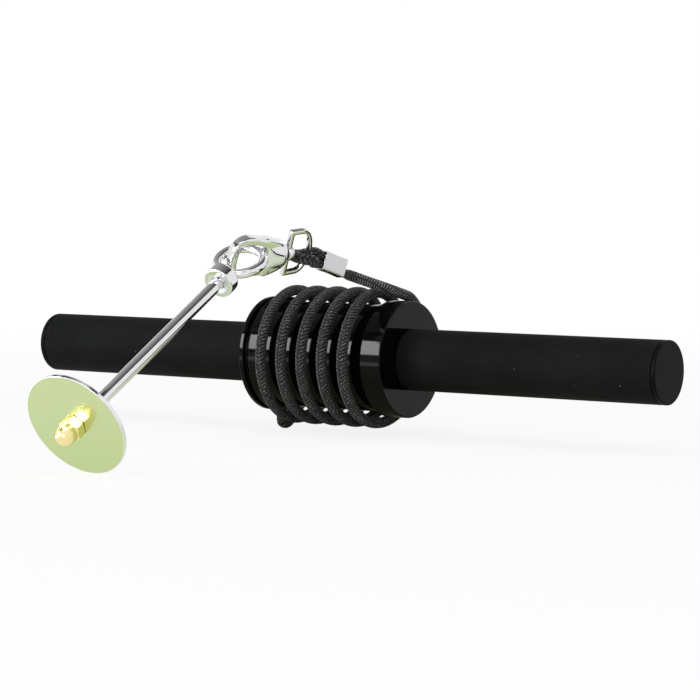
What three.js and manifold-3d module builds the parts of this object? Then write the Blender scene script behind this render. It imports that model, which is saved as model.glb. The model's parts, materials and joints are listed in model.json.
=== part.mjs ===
// Wrist roller: a bar with two long grips and a flanged drum between them. A braided cord is wound
// on the drum, and its free end carries a crimped loop, a swivel snap hook and a plate rod.
//
// Millimetres, +Z up. The origin is the middle of the bar on its axis, +X runs along the bar to the
// right, and the chain of fittings hangs out towards -Y.

import * as THREE from 'three';
import { mergeVertices } from 'three/addons/utils/BufferGeometryUtils.js';
import Module from 'manifold-3d';

const wasm = await Module();
wasm.setup();

// Clearances shared by all pieces
const fitGap = 0.3;
const cutOverrun = 2;

// Bar
const barLength = 483;
const gripDiameter = 40;
const coreTubeDiameter = 25;
const coreTubeWall = 2;
const capThickness = 3;
const capSpigotLength = 16;
const edgeChamfer = 0.6;
const barSides = 48;

// Drum
const drumLength = 111;
const drumCoreDiameter = 70;
const flangeRise = 3;
const flangeDiameter = drumCoreDiameter + 2 * flangeRise;
const flangeWidth = 15.5;
const rimChamfer = 1.2;
const rimGrooveWidth = 3.7;
const rimGrooveInset = 3.6;
const rimGrooveDepth = 3;
const drumSides = 72;

// Grub screws that hold the drum on the tube
const grubDiameter = 5;
const grubLength = 18;
const grubSocketAcrossFlats = 2.5;
const grubSocketDepth = 3;
const grubAngles = [245, 295];
const grubSides = 16;

// Cord: angles are degrees from the top of the drum, over the front and down
const cordDiameter = 7;
const windingStandoff = 4.1;
const windingRadius = drumCoreDiameter / 2 + windingStandoff + cordDiameter / 2;
const windingPitch = 16;
const windingTurns = 5;
const firstTopX = -35.5;
const backLeanShare = 1.1;
const joinAngle = -160;
const leaveAngle = -17;
const windingStepsPerTurn = 24;
const windingSides = 6;
const cordSides = 10;
const cutFlatShare = 0.1;

// Anchor of the cord in the left flange
const anchorX = -44.1;
const anchorAngle = 174;
const anchorKnotDiameter = 13;
const anchorKnotHeight = 10.4;
const anchorPocketReach = 28.4;
const anchorBendDrop = 4.6;
const anchorBendDepth = windingRadius + anchorBendDrop;

// Free lead and loop of the cord
const leadLength = 61.5;
const leadSteps = 10;
const leadEmbed = 8;
const loopStepCount = 40;
const loopSpreadShare = 1.35;
const loopStraightShare = 0.85;
const loopPlay = 1.8;
const loopArcShift = 0.3;
const loopSleeveEmbed = 2;

// Crimp sleeve
const sleeveLength = 17;
const sleeveWidth = 12.4;
const sleeveDepth = 8.8;
const sleeveWall = 0.9;
const sleeveCorner = 1.6;
const sleeveBevel = 0.5;
const strandOffset = 2.6;
const crimpedWidth = 4.6;
const crimpedDepth = 6.2;

// Chain posture, degrees: heading turns from -Y towards -X, pitch is up from level
const leadPose = { heading: 12, pitch: 16, roll: 0 };
const sleevePose = { heading: 22.7, pitch: 19.7, roll: -3 };
const loopPose = { heading: 21.8, pitch: 8.7, roll: 0 };
const turnPose = { heading: 21.6, pitch: 4, roll: 12 };
const eyePose = { heading: 21.6, pitch: -7.2, roll: 32 };
const hookPose = { heading: 21.6, pitch: -7.2, roll: 26 };
const rodPose = { heading: 0, pitch: -29, roll: 12 };
const loopReach = 12.2;
const bowSlide = 6.4;

// Swivel eye
const eyeWidth = 33.5;
const eyeDepth = 19;
const eyeStripWidth = 3.6;
const eyeStripThickness = 3;
const eyeStraightShare = 0.42;
const eyeBevel = 0.5;
const eyeBossDiameter = 10.5;

// Swivel rivet
const rivetDiameter = 5;
const rivetHeadDiameter = 8;
const rivetHeadHeight = 2.4;
const rivetLength = 12;
const rivetSides = 20;

// Hook
const hookLength = 44;
const hookHeight = 29;
const hookAxisHeight = 12.6;
const hookEndDiameter = 16;
const hookArmWidth = 5.4;
const hookArmDepth = 6.8;
const hookBodyLength = 20;
const hookBodyDepth = 7.4;
const hookMouthLength = 20.2;
const hookMouthHeight = 21.6;
const hookMouthX = 27.5;
const hookMouthY = 1.9;
const hookSections = 24;

// Gate of the hook
const gatePivotX = 15.6;
const gatePivotY = -9;
const gateLength = 20.6;
const gateHeight = 3.4;
const gateWidth = 4.8;
const gateHubDiameter = 5.4;
const gateHubWidth = 1.8;
const gateDrop = -1.4;
const gatePinDiameter = 2.2;
const gateSlotGap = 0.35;

// Spring of the gate
const springWire = 0.6;
const springDiameter = 4.2;
const springPitch = 1.05;
const springTurns = 2;
const springStepsPerTurn = 8;
const springSides = 5;

// Lifting eye nut
const eyeRingDiameter = 29;
const eyeRingWire = 6;
const nutBossDiameter = 20;
const nutBossLength = 11.4;
const nutNeckDiameter = 14.4;
const nutNeckLength = 4.2;
const ringPlay = 0.3;

// Plate rod
const rodDiameter = 8;
const rodEmbed = 9.4;
const rodReach = 181.5;
const rodSides = 28;

// Plate disc and its nuts: weight plates rest on the disc outside their bore
const discDiameter = 66.4;
const discThickness = 2.5;
const discChamfer = 0.5;
const weightPlateBore = 27;
const nutAcrossFlats = 13;
const lockNutHeight = 6.5;
const domeNutHexHeight = 12.4;
const domeHeight = 9;
const domeNeckDiameter = 12;
const domeNutThreadDepth = 10.4;
const nutChamfer = 0.9;

const radians = THREE.MathUtils.degToRad;

// Geometry helpers

function toSolid(geometry) {
  const bare = geometry.clone();
  bare.deleteAttribute('normal');
  bare.deleteAttribute('uv');
  const merged = mergeVertices(bare);
  const solid = new wasm.Manifold(new wasm.Mesh({
    numProp: 3,
    vertProperties: merged.attributes.position.array,
    triVerts: merged.index.array,
  }));
  return solid;
}

function toGeometry(solid) {
  const mesh = solid.getMesh();
  const geometry = new THREE.BufferGeometry();
  geometry.setAttribute('position', new THREE.BufferAttribute(mesh.vertProperties, mesh.numProp));
  geometry.setIndex(new THREE.BufferAttribute(mesh.triVerts, 1));
  geometry.computeVertexNormals();
  return geometry;
}

function cut(geometry, ...tools) {
  return toGeometry(tools.reduce((solid, tool) => solid.subtract(toSolid(tool)), toSolid(geometry)));
}

function join(geometry, ...others) {
  return toGeometry(others.reduce((solid, other) => solid.add(toSolid(other)), toSolid(geometry)));
}

// Twice the signed area of a closed profile of [x, r] pairs
function turnOf(profile) {
  return profile.reduce((sum, [x, r], index) => {
    const [nextX, nextR] = profile[(index + 1) % profile.length];
    return sum + x * nextR - nextX * r;
  }, 0);
}

// A closed profile of [x, r] pairs turned round the X axis
function revolve(profile, sides) {
  const ordered = turnOf(profile) > 0 ? profile : [...profile].reverse();
  const points = [...ordered, ordered[0]].map(([x, r]) => new THREE.Vector2(r, -x));
  const geometry = new THREE.LatheGeometry(points, sides);
  geometry.rotateZ(Math.PI / 2);
  return geometry;
}

// A plain round bar along X, from one end to the other
function roundBar(startX, endX, radius, sides) {
  return revolve([[startX, 0], [startX, radius], [endX, radius], [endX, 0]], sides);
}

// A hexagonal bar along X
function hexBar(startX, endX, acrossFlats) {
  return roundBar(startX, endX, acrossFlats / Math.sqrt(3), 6);
}

// A tube along points: sectionAt gives half the width, measured towards the reference direction,
// and half the depth at each point
function sweep(points, sides, sectionAt, reference, lowest = -Infinity) {
  const positions = [];
  const indices = [];
  const tangents = points.map((point, index) => {
    const before = points[Math.max(index - 1, 0)];
    const after = points[Math.min(index + 1, points.length - 1)];
    return after.clone().sub(before).normalize();
  });
  points.forEach((point, index) => {
    const normal = reference.clone();
    normal.addScaledVector(tangents[index], -normal.dot(tangents[index])).normalize();
    const side = tangents[index].clone().cross(normal);
    const [halfWidth, halfDepth] = sectionAt(index);
    for (let step = 0; step < sides; step += 1) {
      const angle = (step + 1 / 2) / sides * 2 * Math.PI;
      const corner = point.clone();
      corner.addScaledVector(normal, halfWidth * Math.cos(angle));
      corner.addScaledVector(side, halfDepth * Math.sin(angle));
      positions.push(corner.x, corner.y, Math.max(corner.z, lowest));
    }
  });
  for (let ring = 0; ring + 1 < points.length; ring += 1) {
    for (let step = 0; step < sides; step += 1) {
      const here = ring * sides + step;
      const beside = ring * sides + (step + 1) % sides;
      indices.push(here, beside, here + sides, beside, beside + sides, here + sides);
    }
  }
  const last = (points.length - 1) * sides;
  for (let step = 1; step + 1 < sides; step += 1) {
    indices.push(0, step + 1, step);
    indices.push(last, last + step, last + step + 1);
  }
  const geometry = new THREE.BufferGeometry();
  geometry.setAttribute('position', new THREE.Float32BufferAttribute(positions, 3));
  geometry.setIndex(indices);
  geometry.computeVertexNormals();
  return geometry;
}

// Least gap between stretches of a route that are over three thicknesses apart along it
function leastGap(points, thicknessAt) {
  let least = Infinity;
  const along = [0];
  points.slice(1).forEach((point, index) => along.push(along[index] + point.distanceTo(points[index])));
  points.forEach((point, index) => {
    points.forEach((other, otherIndex) => {
      const thickness = (thicknessAt(index) + thicknessAt(otherIndex)) / 2;
      if (along[otherIndex] - along[index] > 3 * thickness) {
        least = Math.min(least, point.distanceTo(other) - thickness);
      }
    });
  });
  return least;
}

// Frame of one link of the chain: x runs outwards along the link, y is its upward side
function linkMatrix(origin, { heading, pitch, roll }) {
  const h = radians(heading);
  const p = radians(pitch);
  const r = radians(roll);
  const outward = new THREE.Vector3(-Math.sin(h) * Math.cos(p), -Math.cos(h) * Math.cos(p), Math.sin(p));
  const level = new THREE.Vector3(Math.cos(h), -Math.sin(h), 0);
  const upward = outward.clone().cross(level);
  const side = upward.multiplyScalar(Math.cos(r)).addScaledVector(level, Math.sin(r));
  const across = outward.clone().cross(side);
  return new THREE.Matrix4().makeBasis(outward, side, across).setPosition(origin);
}

function linkPoint(matrix, x, y, z) {
  return new THREE.Vector3(x, y, z).applyMatrix4(matrix);
}

function material(colour, roughness, metalness) {
  return new THREE.MeshStandardMaterial({ color: new THREE.Color(...colour), roughness, metalness });
}

function piece(name, geometry, finish) {
  const mesh = new THREE.Mesh(geometry, finish());
  mesh.name = name;
  return mesh;
}

// Finishes
const gripFoam = () => material([0.012, 0.013, 0.013], 0.8, 0);
const capPlastic = () => material([0.018, 0.019, 0.019], 0.55, 0);
const drumGloss = () => material([0.004, 0.004, 0.005], 0.08, 0);
const tubeSteel = () => material([0.45, 0.46, 0.47], 0.35, 1);
const cordBraid = () => material([0.016, 0.016, 0.017], 0.85, 0);
const sleeveSteel = () => material([0.62, 0.62, 0.63], 0.3, 1);
const chrome = () => material([0.78, 0.78, 0.8], 0.08, 1);
const paleZinc = () => material([0.56, 0.66, 0.33], 0.15, 1);
const brass = () => material([0.8, 0.62, 0.2], 0.18, 1);

// Bar

const capInnerX = barLength / 2 - capThickness;
const gripInnerRadius = coreTubeDiameter / 2 + fitGap;

function coreTube() {
  const end = capInnerX - fitGap;
  const outer = coreTubeDiameter / 2;
  const inner = outer - coreTubeWall;
  return revolve([[-end, inner], [-end, outer], [end, outer], [end, inner]], barSides);
}

function grip(side) {
  const near = drumLength / 2 + fitGap;
  const far = capInnerX - fitGap;
  const outer = gripDiameter / 2;
  return revolve([
    [side * near, gripInnerRadius],
    [side * near, outer],
    [side * (far - edgeChamfer), outer],
    [side * far, outer - edgeChamfer],
    [side * far, gripInnerRadius],
  ], barSides);
}

function endCap(side) {
  const outer = gripDiameter / 2;
  const spigot = coreTubeDiameter / 2 - coreTubeWall - fitGap;
  const spigotEnd = capInnerX - capSpigotLength;
  return revolve([
    [side * spigotEnd, 0],
    [side * spigotEnd, spigot - edgeChamfer],
    [side * (spigotEnd + edgeChamfer), spigot],
    [side * capInnerX, spigot],
    [side * capInnerX, outer - edgeChamfer],
    [side * (capInnerX + edgeChamfer), outer],
    [side * (barLength / 2 - edgeChamfer), outer],
    [side * barLength / 2, outer - edgeChamfer],
    [side * barLength / 2, 0],
  ], barSides);
}

// Drum

// Moves a piece made along +X so that it points away from the bar at an angle round the drum
function pointOutward(geometry, x, angle) {
  geometry.rotateZ(-Math.PI / 2);
  geometry.rotateX(radians(angle - 90));
  geometry.translate(x, 0, 0);
  return geometry;
}

function drumBody() {
  const half = drumLength / 2;
  const core = drumCoreDiameter / 2;
  const rim = flangeDiameter / 2;
  const floor = rim - rimGrooveDepth;
  const grooveStart = half - rimGrooveInset;
  const grooveEnd = grooveStart - rimGrooveWidth;
  return revolve([
    [-half, gripInnerRadius],
    [-half, rim - rimChamfer],
    [-half + rimChamfer, rim],
    [-grooveStart, rim],
    [-grooveStart, floor],
    [-grooveEnd, floor],
    [-grooveEnd, rim],
    [-half + flangeWidth, rim],
    [-half + flangeWidth, core],
    [half - flangeWidth, core],
    [half - flangeWidth, rim],
    [half - rimChamfer, rim],
    [half, rim - rimChamfer],
    [half, gripInnerRadius],
  ], drumSides);
}

const grubX = drumLength / 2 - flangeWidth / 2;
const grubSeat = coreTubeDiameter / 2 + fitGap;

function drum() {
  const rim = flangeDiameter / 2 + cutOverrun;
  const cordHole = roundBar(0, rim, cordDiameter / 2 + fitGap, grubSides);
  const pocket = roundBar(0, anchorPocketReach, anchorKnotDiameter / 2 + 2 * fitGap, grubSides + 8);
  const screwHoles = grubAngles.map((angle) => (
    pointOutward(roundBar(0, rim, grubDiameter / 2 + fitGap, grubSides), grubX, angle)
  ));
  return cut(
    drumBody(),
    pointOutward(cordHole, anchorX, anchorAngle),
    pointOutward(pocket, anchorX, anchorAngle),
    ...screwHoles,
  );
}

function grubScrew(angle) {
  const tip = grubSeat + fitGap;
  const head = tip + grubLength;
  const chamfer = grubDiameter / 8;
  const body = revolve([
    [tip, 0],
    [tip, grubDiameter / 2 - 2 * chamfer],
    [tip + 2 * chamfer, grubDiameter / 2],
    [head - chamfer, grubDiameter / 2],
    [head, grubDiameter / 2 - chamfer],
    [head, 0],
  ], grubSides);
  const socket = hexBar(head - grubSocketDepth, head + cutOverrun, grubSocketAcrossFlats);
  return pointOutward(cut(body, socket), grubX, angle);
}

// Cord

// Place of the cord's middle at an angle round the winding; the step to the next turn is taken at the back
function windingPoint(angle) {
  const turn = radians(angle);
  const drift = windingPitch / (2 * Math.PI) * (turn + backLeanShare * (Math.cos(turn) - 1));
  return new THREE.Vector3(
    firstTopX + drift,
    -windingRadius * Math.sin(turn),
    windingRadius * Math.cos(turn),
  );
}

// A point below the drum at a distance from the bar's axis, at an angle round it
function anchorPoint(x, reach, angle) {
  return new THREE.Vector3(x, -reach * Math.sin(radians(angle)), reach * Math.cos(radians(angle)));
}

function windingRoute() {
  const points = [];
  const straightEnd = anchorPocketReach + cordDiameter;
  points.push(anchorPoint(anchorX, anchorPocketReach, anchorAngle));
  points.push(anchorPoint(anchorX, straightEnd, anchorAngle));
  points.push(anchorPoint(anchorX, windingRadius - fitGap, anchorAngle));
  const bendAngles = [176, 180.5, 185.5, 190.5, 195.5];
  const bendReachShares = [0.965, 0.995, 1, 0.982, 0.938];
  const start = windingPoint(joinAngle);
  bendAngles.forEach((angle, index) => {
    const along = (index + 1) / (bendAngles.length + 1);
    points.push(anchorPoint(
      THREE.MathUtils.lerp(anchorX, start.x, along),
      anchorBendDepth * bendReachShares[index],
      angle,
    ));
  });
  const lastAngle = windingTurns * 360 + leaveAngle;
  const steps = Math.round((lastAngle - joinAngle) / 360 * windingStepsPerTurn);
  for (let step = 0; step <= steps; step += 1) {
    points.push(windingPoint(THREE.MathUtils.lerp(joinAngle, lastAngle, step / steps)));
  }
  const exit = windingPoint(lastAngle);
  points.push(exit.clone().addScaledVector(leadDirection, cordDiameter / 2));
  points.push(exit.clone().addScaledVector(leadDirection, cordDiameter * 3 / 2));
  return points;
}

function cordWinding() {
  const points = windingRoute();
  console.log(`winding: least gap to itself ${leastGap(points, () => cordDiameter).toFixed(2)} mm`);
  const radius = cordDiameter / 2;
  const lowest = -(anchorBendDepth + radius - cutFlatShare * cordDiameter);
  return sweep(points, windingSides, () => [radius, radius], new THREE.Vector3(1, 0, 0), lowest);
}

function anchorKnot() {
  const geometry = new THREE.SphereGeometry(anchorKnotDiameter / 2, 20, 12);
  geometry.scale(anchorKnotHeight / anchorKnotDiameter, 1, 1);
  geometry.translate(anchorPocketReach - fitGap - anchorKnotHeight / 2, 0, 0);
  return pointOutward(geometry, anchorX, anchorAngle);
}

// Half width and half depth of the cord: round in the open, pressed flatter in the sleeve
function strandSection(pressedShare) {
  return [
    THREE.MathUtils.lerp(cordDiameter, crimpedWidth, pressedShare) / 2,
    THREE.MathUtils.lerp(cordDiameter, crimpedDepth, pressedShare) / 2,
  ];
}

// How far a point has gone into the sleeve, from 0 just outside to 1 inside
function pressedShareAt(point) {
  const place = point.clone().applyMatrix4(sleeveMatrix.clone().invert());
  const outside = Math.max(-place.x, place.x - sleeveLength, 0);
  return Math.max(0, 1 - outside / cordDiameter);
}

// Links of the chain, each placed on the end of the one before it

const windingExit = windingPoint(windingTurns * 360 + leaveAngle);
const leadDirection = linkPoint(linkMatrix(new THREE.Vector3(), leadPose), 1, 0, 0);
const leadEndPoint = windingExit.clone().addScaledVector(leadDirection, leadLength);
const sleeveDirection = linkMatrix(new THREE.Vector3(), sleevePose);
const sleeveSide = linkPoint(sleeveDirection, 0, 1, 0);
const sleeveMatrix = linkMatrix(leadEndPoint.clone().addScaledVector(sleeveSide, strandOffset), sleevePose);
const sleeveEnd = linkPoint(sleeveMatrix, sleeveLength, 0, 0);
const crossingPoint = linkPoint(linkMatrix(sleeveEnd, loopPose), loopReach, 0, 0);
const turnMatrix = linkMatrix(crossingPoint, turnPose);
const eyeInnerDepth = eyeDepth - eyeStripThickness;
const crossing = Math.sqrt(1 - (bowSlide / (eyeWidth / 2 - eyeStripThickness / 2)) ** 2);
const crossingDepth = eyeDepth * eyeStraightShare + (eyeInnerDepth - eyeDepth * eyeStraightShare) * crossing;
const barMiddle = linkPoint(linkMatrix(crossingPoint, eyePose), crossingDepth, bowSlide, 0);
const eyeMatrix = linkMatrix(barMiddle, eyePose);
const hookMatrix = linkMatrix(barMiddle, hookPose);

function cordLead() {
  const start = cordDiameter * 3 / 2 + fitGap;
  const straight = leadLength - cordDiameter;
  const guides = [];
  for (let step = 0; step <= leadSteps; step += 1) {
    const along = THREE.MathUtils.lerp(start, straight, step / leadSteps);
    guides.push(windingExit.clone().addScaledVector(leadDirection, along));
  }
  guides.push(linkPoint(sleeveMatrix, 0, -strandOffset, 0));
  guides.push(linkPoint(sleeveMatrix, leadEmbed / 2, -strandOffset, 0));
  guides.push(linkPoint(sleeveMatrix, leadEmbed, -strandOffset, 0));
  return sweep(guides, cordSides, (index) => strandSection(pressedShareAt(guides[index])), sleeveSide);
}

// Loop of the cord: out of the sleeve, round the bow of the swivel eye and back beside itself
function loopRoute() {
  const apart = eyeStripWidth / 2 + cordDiameter / 2 + loopPlay;
  const guides = [
    linkPoint(sleeveMatrix, leadEmbed + fitGap, -strandOffset, 0),
    linkPoint(sleeveMatrix, leadEmbed + 2 * fitGap, -strandOffset, 0),
    linkPoint(sleeveMatrix, sleeveLength * loopStraightShare, -strandOffset, 0),
    linkPoint(sleeveMatrix, sleeveLength, -strandOffset, 0),
    linkPoint(sleeveMatrix, sleeveLength + cordDiameter / 2, -strandOffset * loopSpreadShare, 0),
  ];
  const arcSteps = 6;
  for (let step = 0; step <= arcSteps; step += 1) {
    const turn = (step / arcSteps - 1 / 2) * Math.PI;
    guides.push(linkPoint(turnMatrix, loopArcShift + apart * Math.cos(turn), 0, apart * Math.sin(turn)));
  }
  guides.push(
    linkPoint(sleeveMatrix, sleeveLength + cordDiameter / 2, strandOffset * loopSpreadShare, 0),
    linkPoint(sleeveMatrix, sleeveLength, strandOffset, 0),
    linkPoint(sleeveMatrix, sleeveLength * loopStraightShare, strandOffset, 0),
    linkPoint(sleeveMatrix, loopSleeveEmbed + 2 * fitGap, strandOffset, 0),
    linkPoint(sleeveMatrix, loopSleeveEmbed, strandOffset, 0),
  );
  return new THREE.CatmullRomCurve3(guides, false, 'centripetal').getSpacedPoints(loopStepCount);
}

function cordLoop() {
  const points = loopRoute();
  const thicknessAt = (index) => 2 * strandSection(pressedShareAt(points[index]))[0];
  console.log(`loop: least gap to itself ${leastGap(points, thicknessAt).toFixed(2)} mm`);
  return sweep(points, cordSides, (index) => strandSection(pressedShareAt(points[index])), sleeveSide);
}

// A block along X with rounded long edges, as an oval pressed flat
function roundedBlock(startX, endX, width, depth, corner, bevel) {
  const shape = new THREE.Shape();
  const x = depth / 2 - corner;
  const y = width / 2 - corner;
  shape.absarc(x, y, corner, 0, Math.PI / 2);
  shape.absarc(-x, y, corner, Math.PI / 2, Math.PI);
  shape.absarc(-x, -y, corner, Math.PI, Math.PI * 3 / 2);
  shape.absarc(x, -y, corner, Math.PI * 3 / 2, Math.PI * 2);
  const geometry = new THREE.ExtrudeGeometry(shape, {
    depth: endX - startX - 2 * bevel,
    bevelEnabled: bevel > 0,
    bevelThickness: bevel,
    bevelSize: bevel,
    bevelOffset: -bevel,
    bevelSegments: 1,
    curveSegments: 4,
  });
  geometry.translate(0, 0, startX + bevel);
  geometry.rotateY(Math.PI / 2);
  return geometry;
}

function crimpSleeve() {
  const outside = roundedBlock(0, sleeveLength, sleeveWidth, sleeveDepth, sleeveCorner, sleeveBevel);
  const inside = roundedBlock(
    -cutOverrun,
    sleeveLength + cutOverrun,
    sleeveWidth - 2 * sleeveWall,
    sleeveDepth - 2 * sleeveWall,
    sleeveCorner - sleeveWall / 2,
    0,
  );
  return cut(outside, inside);
}

// Outline of the swivel eye: a straight bar at x = 0 and a bow behind it
function eyeOutline(inset) {
  const half = eyeWidth / 2 - inset;
  const front = eyeStripThickness / 2 - inset;
  const straight = -eyeDepth * eyeStraightShare;
  const bow = eyeInnerDepth + eyeStripThickness / 2 - inset + straight;
  const corner = eyeStripThickness;
  const shape = new THREE.Shape();
  shape.moveTo(front, half - corner);
  shape.absarc(front - corner, half - corner, corner, 0, Math.PI / 2);
  shape.lineTo(straight, half);
  shape.absellipse(straight, 0, bow, half, Math.PI / 2, Math.PI * 3 / 2);
  shape.lineTo(front - corner, -half);
  shape.absarc(front - corner, -half + corner, corner, Math.PI * 3 / 2, Math.PI * 2);
  shape.closePath();
  return shape;
}

function swivelEye() {
  const outside = new THREE.ExtrudeGeometry(eyeOutline(0), {
    depth: eyeStripWidth - 2 * eyeBevel,
    bevelThickness: eyeBevel,
    bevelSize: eyeBevel,
    bevelOffset: -eyeBevel,
    bevelSegments: 1,
    curveSegments: 12,
  });
  outside.translate(0, 0, -eyeStripWidth / 2 + eyeBevel);
  const inside = new THREE.ExtrudeGeometry(eyeOutline(eyeStripThickness), {
    depth: 2 * eyeStripWidth,
    bevelEnabled: false,
    curveSegments: 12,
  });
  inside.translate(0, 0, -eyeStripWidth);
  const face = eyeStripThickness / 2;
  const boss = roundBar(-face, face, eyeBossDiameter / 2, rivetSides);
  const hole = roundBar(-eyeStripThickness, eyeStripThickness, rivetDiameter / 2 + fitGap, rivetSides);
  return cut(join(cut(outside, inside), boss), hole);
}

function swivelRivet() {
  const headFace = -eyeStripThickness / 2 - fitGap;
  const headTop = headFace - rivetHeadHeight;
  const head = rivetHeadDiameter / 2;
  const shank = rivetDiameter / 2;
  const end = headFace + rivetLength;
  const dome = rivetHeadHeight * 2 / 3;
  return revolve([
    [headTop, 0],
    [headTop, head / 2],
    [headTop + dome / 2, head * 5 / 6],
    [headTop + dome, head],
    [headFace, head],
    [headFace, shank],
    [end - edgeChamfer, shank],
    [end, shank - edgeChamfer],
    [end, 0],
  ], rivetSides);
}

// Hook

const hookFaceX = eyeStripThickness / 2 + fitGap;
const hookTopY = hookHeight - hookAxisHeight;

// Path of the arm's middle, as shares of the hook's length and of its height above the lower side
const armLengthShares = [0.27, 0.41, 0.545, 0.68, 0.77, 0.85, 0.91, 0.94, 0.948, 0.94, 0.92, 0.895, 0.88];
const armHeightShares = [0.745, 0.81, 0.86, 0.91, 0.915, 0.87, 0.785, 0.66, 0.5, 0.365, 0.23, 0.125, 0.06];

function armPoint(lengthShare, heightShare) {
  return new THREE.Vector3(hookLength * lengthShare, hookHeight * heightShare - hookAxisHeight, 0);
}

function hookArm() {
  const curve = new THREE.CatmullRomCurve3(
    armLengthShares.map((share, index) => armPoint(share, armHeightShares[index])),
  );
  const points = curve.getSpacedPoints(hookSections);
  const noseShare = 0.72;
  const section = (index) => {
    const along = index / hookSections;
    const slim = THREE.MathUtils.lerp(1, noseShare, Math.max(0, along * 3 - 2));
    return [hookArmDepth / 2 * slim, hookArmWidth / 2 * slim];
  };
  return sweep(points, 12, section, new THREE.Vector3(0, 0, 1));
}

// The body swells from a round end at the swivel to a flatter cheek round the mouth
function hookBody() {
  const stations = 8;
  const rings = 24;
  const positions = [];
  const indices = [];
  for (let station = 0; station <= stations; station += 1) {
    const along = station / stations;
    const ease = Math.sin(along * Math.PI / 2);
    const x = hookFaceX + (hookBodyLength - hookFaceX) * along;
    const top = THREE.MathUtils.lerp(hookEndDiameter / 2, hookTopY * 0.8, ease);
    const bottom = THREE.MathUtils.lerp(hookEndDiameter / 2, hookAxisHeight, ease);
    const depth = THREE.MathUtils.lerp(hookEndDiameter / 2, hookBodyDepth / 2, ease);
    for (let step = 0; step < rings; step += 1) {
      const angle = step / rings * 2 * Math.PI;
      const height = Math.sin(angle) > 0 ? top : bottom;
      positions.push(x, height * Math.sin(angle), depth * Math.cos(angle));
    }
  }
  for (let station = 0; station < stations; station += 1) {
    for (let step = 0; step < rings; step += 1) {
      const here = station * rings + step;
      const beside = station * rings + (step + 1) % rings;
      indices.push(here, here + rings, beside, beside, here + rings, beside + rings);
    }
  }
  const last = stations * rings;
  for (let step = 1; step + 1 < rings; step += 1) {
    indices.push(0, step, step + 1);
    indices.push(last, last + step + 1, last + step);
  }
  const geometry = new THREE.BufferGeometry();
  geometry.setAttribute('position', new THREE.Float32BufferAttribute(positions, 3));
  geometry.setIndex(indices);
  return geometry;
}

function mouthTool() {
  const geometry = new THREE.CylinderGeometry(1, 1, hookEndDiameter * 2, 40);
  geometry.rotateX(Math.PI / 2);
  geometry.scale(hookMouthLength / 2, hookMouthHeight / 2, 1);
  geometry.translate(hookMouthX, hookMouthY, 0);
  return geometry;
}

function gateSlotTool() {
  const hub = gateHubDiameter / 2 + gateSlotGap;
  const below = hookAxisHeight + gatePivotY + cutOverrun;
  const length = hookBodyLength - gatePivotX + cutOverrun + hub;
  const geometry = new THREE.BoxGeometry(length, below + hub, gateWidth + 2 * gateSlotGap);
  geometry.translate(gatePivotX - hub + length / 2, gatePivotY + (hub - below) / 2, 0);
  return geometry;
}

function alongZ(geometry, x, y) {
  geometry.rotateY(-Math.PI / 2);
  geometry.translate(x, y, 0);
  return geometry;
}

function hook() {
  const rivetHole = roundBar(0, hookFaceX + rivetLength, rivetDiameter / 2 + fitGap, rivetSides);
  const pinReach = hookBodyDepth;
  const pinHole = alongZ(
    roundBar(-pinReach, pinReach, gatePinDiameter / 2 + fitGap, rivetSides),
    gatePivotX,
    gatePivotY,
  );
  const body = cut(hookBody(), mouthTool());
  return cut(join(body, hookArm()), rivetHole, gateSlotTool(), pinHole);
}

// The gate is a lever in the slot: a narrow hub on the pin beside the spring, and a wider blade
function hookGate() {
  const shape = new THREE.Shape();
  const hub = gateHubDiameter / 2;
  const low = gateDrop - gateHeight / 2;
  const high = gateDrop + gateHeight / 2;
  shape.moveTo(hub, high);
  shape.lineTo(gateLength - edgeChamfer, high);
  shape.lineTo(gateLength, high - edgeChamfer);
  shape.lineTo(gateLength, low + edgeChamfer);
  shape.lineTo(gateLength - edgeChamfer, low);
  shape.lineTo(hub, low);
  shape.closePath();
  const blade = new THREE.ExtrudeGeometry(shape, {
    depth: gateWidth - 2 * edgeChamfer,
    bevelThickness: edgeChamfer,
    bevelSize: edgeChamfer,
    bevelOffset: -edgeChamfer,
    bevelSegments: 1,
  });
  blade.translate(0, 0, -gateWidth / 2 + edgeChamfer);
  const root = new THREE.BoxGeometry(hub * 2, gateHeight, gateHubWidth);
  root.translate(hub, gateDrop, -gateWidth / 2 + gateHubWidth / 2);
  const disc = alongZ(roundBar(-gateWidth / 2, -gateWidth / 2 + gateHubWidth, hub, rivetSides), 0, 0);
  const hole = alongZ(roundBar(-gateWidth, gateWidth, gatePinDiameter / 2 + fitGap, rivetSides), 0, 0);
  const geometry = cut(join(blade, root, disc), hole);
  geometry.translate(gatePivotX, gatePivotY, 0);
  return geometry;
}

function gatePin() {
  const reach = hookBodyDepth / 2 - fitGap;
  return alongZ(roundBar(-reach, reach, gatePinDiameter / 2, rivetSides), gatePivotX, gatePivotY);
}

function gateSpring() {
  const radius = (springDiameter - springWire) / 2;
  const startZ = -gateWidth / 2 + gateHubWidth + fitGap + springWire / 2;
  const points = [new THREE.Vector3(radius, -springWire, startZ)];
  const steps = springTurns * springStepsPerTurn;
  for (let step = 0; step <= steps; step += 1) {
    const turn = step / springStepsPerTurn * 2 * Math.PI;
    points.push(new THREE.Vector3(
      radius * Math.cos(turn),
      radius * Math.sin(turn),
      startZ + springPitch * step / springStepsPerTurn,
    ));
  }
  points.push(new THREE.Vector3(radius, springWire, startZ + springPitch * springTurns));
  console.log(`gate spring: least gap to itself ${leastGap(points, () => springWire).toFixed(2)} mm`);
  const geometry = sweep(points, springSides, () => [springWire / 2, springWire / 2], new THREE.Vector3(0, 0, 1));
  geometry.translate(gatePivotX, gatePivotY, 0);
  return geometry;
}

// Plate rod

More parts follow.
